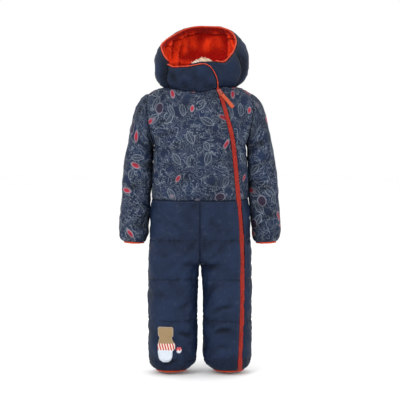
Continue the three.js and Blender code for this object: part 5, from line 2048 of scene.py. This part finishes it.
@dataclass
class Bindings:
    """The bright folded tape round the cuffs, the leg ends, the rim and the flap."""

    shop: Workshop
    around: int = 18
    cuff_height: float = 4.2
    hem_height: float = 4.4
    rim_height: float = 3.2
    flap_height: float = 2.4
    squareness: float = 0.7

    def band(
        self, name: str, points: Array, up: Array, out: Array,
        half: float, height: float, closed: bool,
    ) -> None:
        """Makes one bound edge that replaces its solid.

        Args:
            name: The node.
            points: Its path.
            up: Which way its fold stands, at each point.
            out: Which way its outer side faces.
            half: Half of its thickness.
            height: How far the fold stands up.
            closed: Whether it runs round.
        """
        a = np.linspace(0, 2 * np.pi, self.around, endpoint=False)
        wide = half * np.sign(np.cos(a)) * np.abs(np.cos(a)) ** self.squareness
        tall = height / 2 * (1 + np.sign(np.sin(a)) * np.abs(np.sin(a)) ** self.squareness)
        grid = points[:, None] + out[:, None] * wide[:, None] + up[:, None] * tall[:, None]
        middle = points[:, None] + up[:, None] * (height / 2)
        along = distances(np.concatenate([points, points[:1]]) if closed else points, 0)
        walked = along[: len(points)]
        ripple = 0.22 * np.sin(walked / 2.1) + 0.3 * rolling(points, len(name), 11)
        grid += unit(grid - middle) * (ripple[:, None, None] * 0.6 - 0.1)
        rows, columns = grid.shape[:2]
        faces = [quads(rows, columns, True)]
        index = np.arange(rows * columns).reshape(rows, columns)
        if closed:
            last, first = index[-1], index[0]
            faces.append(np.stack([last, np.roll(last, -1), np.roll(first, -1), first], axis=1))
        else:
            faces += [index[:1, ::-1], index[-1:]]
        size = np.stack(np.broadcast_arrays((a * 2.2)[None, :], walked[:, None]), axis=-1).reshape(-1, 2)
        p = grid.reshape(-1, 3)
        q = faces[0]
        turn = np.cross(p[q[:, 2]] - p[q[:, 0]], p[q[:, 3]] - p[q[:, 1]])
        outward = (turn * (grid - middle).reshape(-1, 3)[q[:, 0]]).sum() > 0
        faces = faces if outward else [f[:, ::-1] for f in faces]
        piece = new_object(name + "_tape", Made(p, faces, size))
        self.shop.dress(piece, BINDING, "binding")
        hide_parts(name)
        seam = points + up * 0.9
        path, ups = seam + out * (half + 0.12), out
        if closed:
            path, ups = np.concatenate([path, path[:1]]), np.concatenate([out, out[:1]])
        sizes = {"width": 0.0006, "height": 0.0005}
        sewn = self.shop.sew(name + "_stitching", [Line(path, ups)], RED_THREAD, "binding", **sizes)
        length = float(np.linalg.norm(np.diff(points, axis=0), axis=-1).sum()) * MM

    def cuffs(self) -> None:
        """Binds both cuffs."""
        xi, zi, xo, zo, deep, _ = SLEEVE_ROWS[-1]
        t = np.linspace(0, 2 * np.pi, 120, endpoint=False)[:, None]
        inner, outer = np.array([xi + SEAM_GAP, 0, zi]), np.array([xo + SEAM_GAP, 0, zo])
        along = unit(outer - inner)
        down = np.array([along[2], 0, -along[0]])
        middle = (inner + outer) / 2 + down * SEAM_GAP - [0, 0, CUFF_DROP - 1.0]
        reach = float(np.linalg.norm(outer - inner)) / 2 - WALL / 2 + 0.4
        across = np.array([0.0, 1.0, 0.0])
        points = middle + along * reach * np.cos(t) + across * (deep - WALL / 2 + 0.4) * np.sin(t)
        out = unit(along * np.cos(t) + across * np.sin(t))
        for name, side in (("left", 1.0), ("right", -1.0)):
            turn = np.array([side, 1, 1])
            up = np.broadcast_to(down * turn, points.shape)
            half, tall = WALL / 2 + 0.1, self.cuff_height
            self.band("cuff_binding_" + name, points * turn, up, out * turn, half, tall, True)

    def hems(self) -> None:
        """Binds both leg ends."""
        t = np.linspace(0, 2 * np.pi, 150, endpoint=False)
        _, cx, half, front, _ = BODY_ROWS[0]
        for name, side in (("left", 1.0), ("right", -1.0)):
            x = side * (cx + (half - WALL / 2 - 3.0) * np.cos(t))
            points = stack(x, (front - WALL / 2 - 3.0) * np.sin(t), LEG_END_Z - SEAM_GAP)
            out = stack(side * np.cos(t), np.sin(t), 0 * t)
            up = np.broadcast_to([0.0, 0.0, -1.0], points.shape)
            self.band("hem_binding_" + name, points, up, out, WALL / 2 - 0.4, self.hem_height, True)

    def frame(self, v: Array, a: Array) -> tuple[Array, Array, Array]:
        """Returns the hood's point, upward way and outward way at a share and an angle."""
        p = HOOD.point(v, a)
        up = unit(p - HOOD.point(v - 0.02, a))
        out = unit(np.cross(HOOD.point(v, a + 1) - HOOD.point(v, a - 1), up))
        return p, up, turned_to(out, p - hood_core(p))

    def rim(self) -> None:
        """Binds the hood's rim."""
        a = np.linspace(27, 360 + FLAP_SIDE - 2, 300)
        p, up, out = self.frame(np.ones_like(a), a)
        half = (WALL + SEAM_GAP + LINING_WALL) / 2
        lined = ease((a - 61) / 12)[:, None]
        hollow = HOOD.hollow(np.ones_like(a), a)[:, None]
        points = p + out * (hollow - WALL / 2 - 0.4 - lined * (half - WALL / 2)) + up * 0.9
        self.band("rim_binding", points, up, out, half - 1.9, self.rim_height, False)

    def flap(self) -> None:
        """Binds the flap's top edge, its corner and its free end."""
        top, corner = 0.88, 0.6
        t = np.linspace(0, 1, 150)
        end = float(HOOD.flap_end(top))
        along = np.clip(t / corner, 0, 1)
        down = np.clip((t - corner) / (1 - corner), 0, 1)
        v = top - (top - 0.04) * down
        a = np.where(down > 0, HOOD.flap_end(v), FLAP_SIDE + 2 + (end - FLAP_SIDE - 2) * along)
        p, up, out = self.frame(v, a)
        c = (a - FLAP_SIDE) / (HOOD.flap_end(v) - FLAP_SIDE)
        side = turned_to(unit(np.cross(up, out)), HOOD.point(v, a + 1) - HOOD.point(v, a))
        turn = (np.pi / 2 * ease((t - corner + 0.1) / 0.22))[:, None]
        up = up * np.cos(turn) + side * np.sin(turn)
        lift = HOOD.flap_lift(v, c)[:, None]
        points = p + out * (lift - WALL / 2 + 0.6) + up * 0.7
        half, on = WALL / 2 - 0.7, "chin_flap_over_cloth"
        self.band("flap_binding", points, up, out, half, self.flap_height, False)

    def build(self) -> None:
        """Makes every bound edge."""
        self.cuffs()
        self.hems()
        self.rim()
        self.flap()


@dataclass
class Zip:
    """The long zip: two tapes with a coil between them, and its slider."""

    shop: Workshop
    sink: float = 0.3
    thick: float = 2.4
    play: float = 0.35
    slider_row: float = 0.905
    leg_rows: int = 170
    top_rows: int = 60
    yoke_rows: int = 70
    columns: int = 15
    tooth_reach: float = 1.05

    def tape(self) -> Grid:
        """Lays out the tape from the leg end to the neck."""

        def at(r: Array, c: Array) -> Array:
            """Returns the tape's points: r below 0 is the leg, above 0 the top."""
            z = np.clip(LEG_END_Z + 1 + (r + 1) * (WAIST_Z - SEAM_GAP - LEG_END_Z - 1), LEG_END_Z, WAIST_Z)
            x = BODY.zip_x(z) + (2 * c - 1) * (BODY.zip_half(z) - self.play)
            low = BODY.low(Face.FRONT, 1.0, z, BODY.angle_at(z, x))
            w = np.clip(2 * r - 1, -1, 1)
            first, last = BODY.zip_share(w, self.play - 1), BODY.zip_share(w, 1 - self.play)
            high = BODY.upper(Face.FRONT, w, first + (last - first) * c)
            return np.where((r < 0)[..., None], low, high)

        leg = np.linspace(-1, 0, self.leg_rows)[:-1]
        yoke = np.sin(np.linspace(0, 1, self.yoke_rows) * np.pi / 2)
        top = (np.concatenate([np.linspace(-1, 0, self.top_rows)[:-1], yoke]) + 1) / 2
        columns = np.linspace(0, 1, self.columns)
        return lay_out(at, np.concatenate([leg, top]), columns, body_core, {"high": shoulder_seam})

    def slider_frame(self) -> tuple[Array, Array, Array, Array]:
        """Returns the slider's point and its ways across the zip, along it and off the cloth."""

        def on_zip(w: float) -> Array:
            """Returns the zip's middle point at a row."""
            row = np.array([w])
            return BODY.upper(Face.FRONT, row, BODY.zip_share(row, 0.0))[0]

        row = np.array([self.slider_row])
        at = on_zip(self.slider_row)
        along = unit(on_zip(self.slider_row + 0.03) - on_zip(self.slider_row - 0.05))
        ends = [BODY.upper(Face.FRONT, row, BODY.zip_share(row, k))[0] for k in (3.0, -3.0)]
        away = unit(np.cross(ends[0] - ends[1], along))
        return at, unit(np.cross(along, away)), along, away

    def build(self) -> None:
        """Makes the tape, the teeth, the stitches and the slider."""
        grid = self.tape()
        lift = np.full(grid.r.shape, -self.sink)
        middle = soft(grid.c - 0.5, 0.12)
        relief = 0.35 * rolling(grid.p, 101, 12) * (1 - middle) - 0.5 * middle - 0.25
        piece = new_object("zip_tape", wall_of(grid, lift, relief, self.thick))
        self.shop.dress(piece, ZIP_TAPE, "zip_tape")
        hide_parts("zip_strip")
        outside = grid.raised(lift + relief)
        centre = grid.r.shape[1] // 2
        across = unit(grid.p[:, -1] - grid.p[:, 0])
        spine = outside[:, centre] + grid.n[:, centre] * 0.55
        sizes = {"pitch": 0.0016, "length": 0.0028, "width": 0.0009, "height": 0.0013}
        lines = [Line(spine + across * k, grid.n[:, centre]) for k in (-self.tooth_reach, self.tooth_reach)]
        coil = self.shop.sew("zip_coil", lines, COIL, "zip_tape", turn=math.pi / 2, jitter=0.04, **sizes)
        edges = [Line(outside[:, k] + grid.n[:, k] * 0.1, grid.n[:, k]) for k in (3, -4)]
        sewn = self.shop.sew("tape_stitching", edges, RED_THREAD, "zip_tape", pitch=0.0036, length=0.0027)
        declare(grid)
        self.slider()

    def slider(self) -> None:
        """Makes the slider: a tapered plate with an arch that holds the tab."""
        at, across, along, away = self.slider_frame()
        body = Plate(
            ((-3.5, -7.6), (3.5, -7.6), (4.8, 7.8), (-4.8, 7.8)), (1.6, 1.6, 2.0, 2.0), 0.2, 1.9, 0.45
        )
        arch = Plate(
            (
                (-4.6, 1.6), (-3.5, 1.6), (-3.4, 5.9), (3.1, 5.9),
                (3.2, 1.6), (4.3, 1.6), (3.9, 6.9), (-4.2, 6.9),
            ),
            (0.05, 0.05, 0.7, 0.7, 0.05, 0.05, 1.4, 1.4), -1.1, 1.1, 0.25,
        )
        made = [body.build(at, across, along, away), arch.build(at, along, away, across)]
        piece = new_object("zip_slider_body", merged(made))
        self.shop.dress(piece, ENAMEL, "slider")
        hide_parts("zip_slider")


def merged(parts: Sequence[Made]) -> Made:
    """Returns several parts as one."""
    faces, start = [], 0
    for part in parts:
        faces += [f + start for f in part.faces]
        start += len(part.points)
    return Made(np.concatenate([p.points for p in parts]), faces, np.concatenate([p.uv for p in parts]))


@dataclass(frozen=True)
class Plate:
    """A flat shape with rounded corners and softened edges."""

    corners: tuple[tuple[float, float], ...]
    radii: tuple[float, ...]
    low: float
    high: float
    soft: float

    def outline(self) -> Array:
        """Returns the outline's points, its corners rounded."""
        points, corners = [], np.array(self.corners, float)
        for k, corner in enumerate(corners):
            before, after = unit(corners[k - 1] - corner), unit(corners[(k + 1) % len(corners)] - corner)
            start, end = corner + before * self.radii[k], corner + after * self.radii[k]
            for t in np.linspace(0, 1, 7):
                points.append(start * (1 - t) ** 2 + corner * 2 * t * (1 - t) + end * t * t)
        return np.array(points)

    def build(self, at: Array, x: Array, y: Array, z: Array) -> Made:
        """Returns the plate set in a frame of three directions at a point."""
        shape = self.outline()
        ahead = unit(np.roll(shape, -1, 0) - np.roll(shape, 1, 0))
        inward = np.stack([-ahead[:, 1], ahead[:, 0]], axis=-1)
        steps = ((1.0, 0.0), (0.3, 0.08), (0.08, 0.3), (0.0, 1.0))
        heights = [(inset, self.low + rise * self.soft) for inset, rise in steps]
        heights += [(inset, self.high - rise * self.soft) for inset, rise in reversed(steps)]
        rings = []
        for inset, height in heights:
            flat = shape + inward * inset * self.soft
            rings.append(at + flat[:, :1] * x + flat[:, 1:] * y + height * z)
        points = np.array(rings)
        rows, columns = points.shape[:2]
        index = np.arange(rows * columns).reshape(rows, columns)
        faces = [quads(rows, columns, True), index[:1, ::-1], index[-1:]]
        uv = np.stack([(points - at) @ x, (points - at) @ y], axis=-1).reshape(-1, 2)
        turn = float(np.dot(np.cross(x, y), z))
        faces = faces if turn > 0 else [f[:, ::-1] for f in faces]
        return Made(points.reshape(-1, 3), faces, uv)


@dataclass
class PullTab:
    """The moulded puller: a flat grip on a loop round the slider's pin."""

    shop: Workshop
    zip: Zip
    foot_x: float = 83.0
    foot_row: float = 0.56
    height: float = 4.0
    length: float = 45.0
    first_ridge: float = 14.0
    last_ridge: float = 28.4
    ridges: int = 5

    def frame(self) -> tuple[Array, Array, Array, Array]:
        """Returns the pin's point, its axis, the way along the tab and the way off it."""
        at, _, along, away = self.zip.slider_frame()
        pin = at + along * -1.3 + away * 4.6
        share = self.foot_x / float(BODY.armhole_half(self.foot_row))
        grid = lay_out(
            lambda w, c: BODY.upper(Face.FRONT, w, 2 * c - 1),
            np.array([self.foot_row - 0.001, self.foot_row, self.foot_row + 0.001]),
            np.array([(share + 1) / 2 - 0.001, (share + 1) / 2, (share + 1) / 2 + 0.001]),
            body_core,
        )
        end = grid.p[1, 1] + grid.n[1, 1] * self.height
        down = unit(end - pin)
        axis = unit(np.cross(down, away))
        return pin, axis, down, unit(np.cross(axis, down))

    def build(self) -> None:
        """Makes the grip with its raised grooves and its loop."""
        pin, axis, down, up = self.frame()
        grip = Plate(
            ((-3.8, 6.3), (3.8, 6.3), (4.5, self.length), (-4.5, self.length)), (2, 2, 4, 4), -1.0, 1.0, 0.45
        )
        ridges = [
            Plate(((-3.2, y), (3.2, y), (3.2, y + 1.1), (-3.2, y + 1.1)), (0.5,) * 4, 0.9, 1.35, 0.2)
            for y in np.linspace(self.first_ridge, self.last_ridge, self.ridges)
        ]
        sides = [
            Plate(((x, -0.6), (x + 1.2, -0.6), (x + 1.2, 8.0), (x, 8.0)), (0.3,) * 4, -0.6, 0.6, 0.2)
            for x in (-4.3, 3.1)
        ]
        bar = Plate(((-3.4, -0.6), (3.4, -0.6), (3.4, 0.6), (-3.4, 0.6)), (0.2,) * 4, -0.58, 0.58, 0.2)
        parts = [part.build(pin, axis, down, up) for part in (grip, bar, *ridges, *sides)]
        piece = new_object("pull_tab_grip", merged(parts))
        self.shop.dress(piece, PULLER, "puller", TAB_BODY)
        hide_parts("pull_tab")


@dataclass
class Badge:
    """The felt mitten on the wearer's right shin, and the small red spot beside it."""

    shop: Workshop
    leg: Panel
    gap: float = 0.5
    thick: float = 1.3

    def piece(self, name: str, table: tuple, columns: int, finish: FeltFinish, slot: str) -> None:
        """Makes one felt shape that follows the cloth under it.

        Args:
            name: The node that it replaces.
            table: Its left and right edge at each height.
            columns: How many columns it has.
            finish: Its felt.
            slot: The record's slot.
        """
        left, right = Curve(table, 1), Curve(table, 2)
        rows = np.linspace(table[0][0], table[-1][0], 60 if columns > 20 else 20)

        def angle(z: Array, c: Array) -> Array:
            """Returns the angle of a point of the shape."""
            return BODY.angle_at(z, -(left(z) + (right(z) - left(z)) * c))

        def at(z: Array, c: Array) -> Array:
            """Returns a point of the shape."""
            return BODY.low(Face.FRONT, -1.0, z, angle(z, c))

        grid = lay_out(at, rows, np.linspace(0, 1, columns), leg_core)
        under = self.leg.height_at(grid.r, angle(grid.r, grid.c) / BODY.inner_angle(grid.r))
        relief = 0.5 * ease(grid.edge() / 3) + 0.12 * rolling(grid.p, 111, 7)
        lift = under + self.gap + self.thick
        piece = new_object(name + "_felt", wall_of(grid, lift, relief, self.thick))
        self.shop.dress(piece, finish, slot)
        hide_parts(name)
        outside = grid.raised(lift + relief)
        lines = [line_on(grid, outside, edge, 1.6, 1.0) for edge in ("first", "last", "low", "high")]
        lines = [line.lifted(0.1) for line in lines if len(line.points) > 2]
        sizes = {"pitch": 0.0021, "length": 0.0024, "width": 0.0008, "height": 0.0008}
        sewn = self.shop.sew(name + "_stitching", lines, PALE_THREAD, slot, turn=math.pi / 2, **sizes)
        declare(grid)

    def build(self) -> None:
        """Makes both shapes."""
        self.piece("shin_badge", BADGE_ROWS, 26, BADGE_FELT, "badge")
        self.piece("shin_spot", SPOT_ROWS, 12, RED_FELT, "badge_red")


@dataclass
class Studio:
    """The pale floor, the soft lights and the camera."""

    distance: float = 3.2
    lens: float = 122.6
    aim: tuple[float, float, float] = (0.0, 0.0, -0.258)
    elevation: float = 4.0

    def floor(self) -> None:
        """Lays a pale floor just under the leg ends."""
        corners = [(x * FLOOR_HALF, y * FLOOR_HALF, FLOOR_Z) for x, y in ((-1, -1), (1, -1), (1, 1), (-1, 1))]
        made = Made(np.array(corners), [np.array([[0, 1, 2, 3]])], np.zeros((4, 2)))
        floor = new_object("studio_floor", made, False)
        graph = Graph("pale floor")
        tone = graph.noise(graph.place(), 0.4, 3.0)
        colour = graph.mix(tone, srgb("#fcfcfc"), srgb("#ffffff"))
        floor.data.materials.append(graph.finish(Base_Color=colour, Roughness=0.9))

    def light(self, name: str, place: tuple[float, float, float], size: float, power: float) -> None:
        """Hangs one square soft light aimed at the garment."""
        lamp = bpy.data.lights.new(name, "AREA")
        lamp.size, lamp.energy = size, power
        made = linked(name, lamp)
        made.location = place
        towards = np.array([0.0, 0.0, -0.25]) - np.array(place)
        made.rotation_mode = "QUATERNION"
        made.rotation_quaternion = Vector(towards).to_track_quat("-Z", "Y")

    def build(self) -> None:
        """Sets up the whole studio."""
        self.floor()
        self.light("key", (-1.5, -2.6, 1.5), 1.5, 46)
        self.light("fill", (2.3, -2.3, 0.6), 2.0, 20)
        self.light("top", (0.2, 0.4, 2.4), 1.8, 22)
        world = bpy.data.worlds.new("studio")
        world.use_nodes = True
        world.node_tree.nodes["Background"].inputs[0].default_value = (1, 1, 1, 1)
        world.node_tree.nodes["Background"].inputs[1].default_value = 1.0
        bpy.context.scene.world = world
        camera = bpy.data.cameras.new("camera")
        camera.lens, camera.sensor_width = self.lens, 36
        made = linked("camera", camera)
        tilt = math.radians(self.elevation)
        back = Vector((0, -math.cos(tilt), math.sin(tilt)))
        made.location = Vector(self.aim) + back * self.distance
        made.rotation_mode = "QUATERNION"
        made.rotation_quaternion = (-back).to_track_quat("-Z", "Y")
        bpy.context.scene.camera = made
        bpy.context.scene.view_settings.view_transform = "Standard"


def main() -> None:
    """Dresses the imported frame."""
    logging.basicConfig(level=logging.INFO, format="%(message)s")
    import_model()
    Studio().build()
    shop = Workshop()
    Top(shop).build()
    legs = Trousers(shop).build()
    Sleeves(shop).build()
    Hood(shop).build()
    Bindings(shop).build()
    zip_ = Zip(shop)
    zip_.build()
    PullTab(shop, zip_).build()
    Badge(shop, legs["leg_front_right"]).build()


if __name__ == "__main__":
    main()
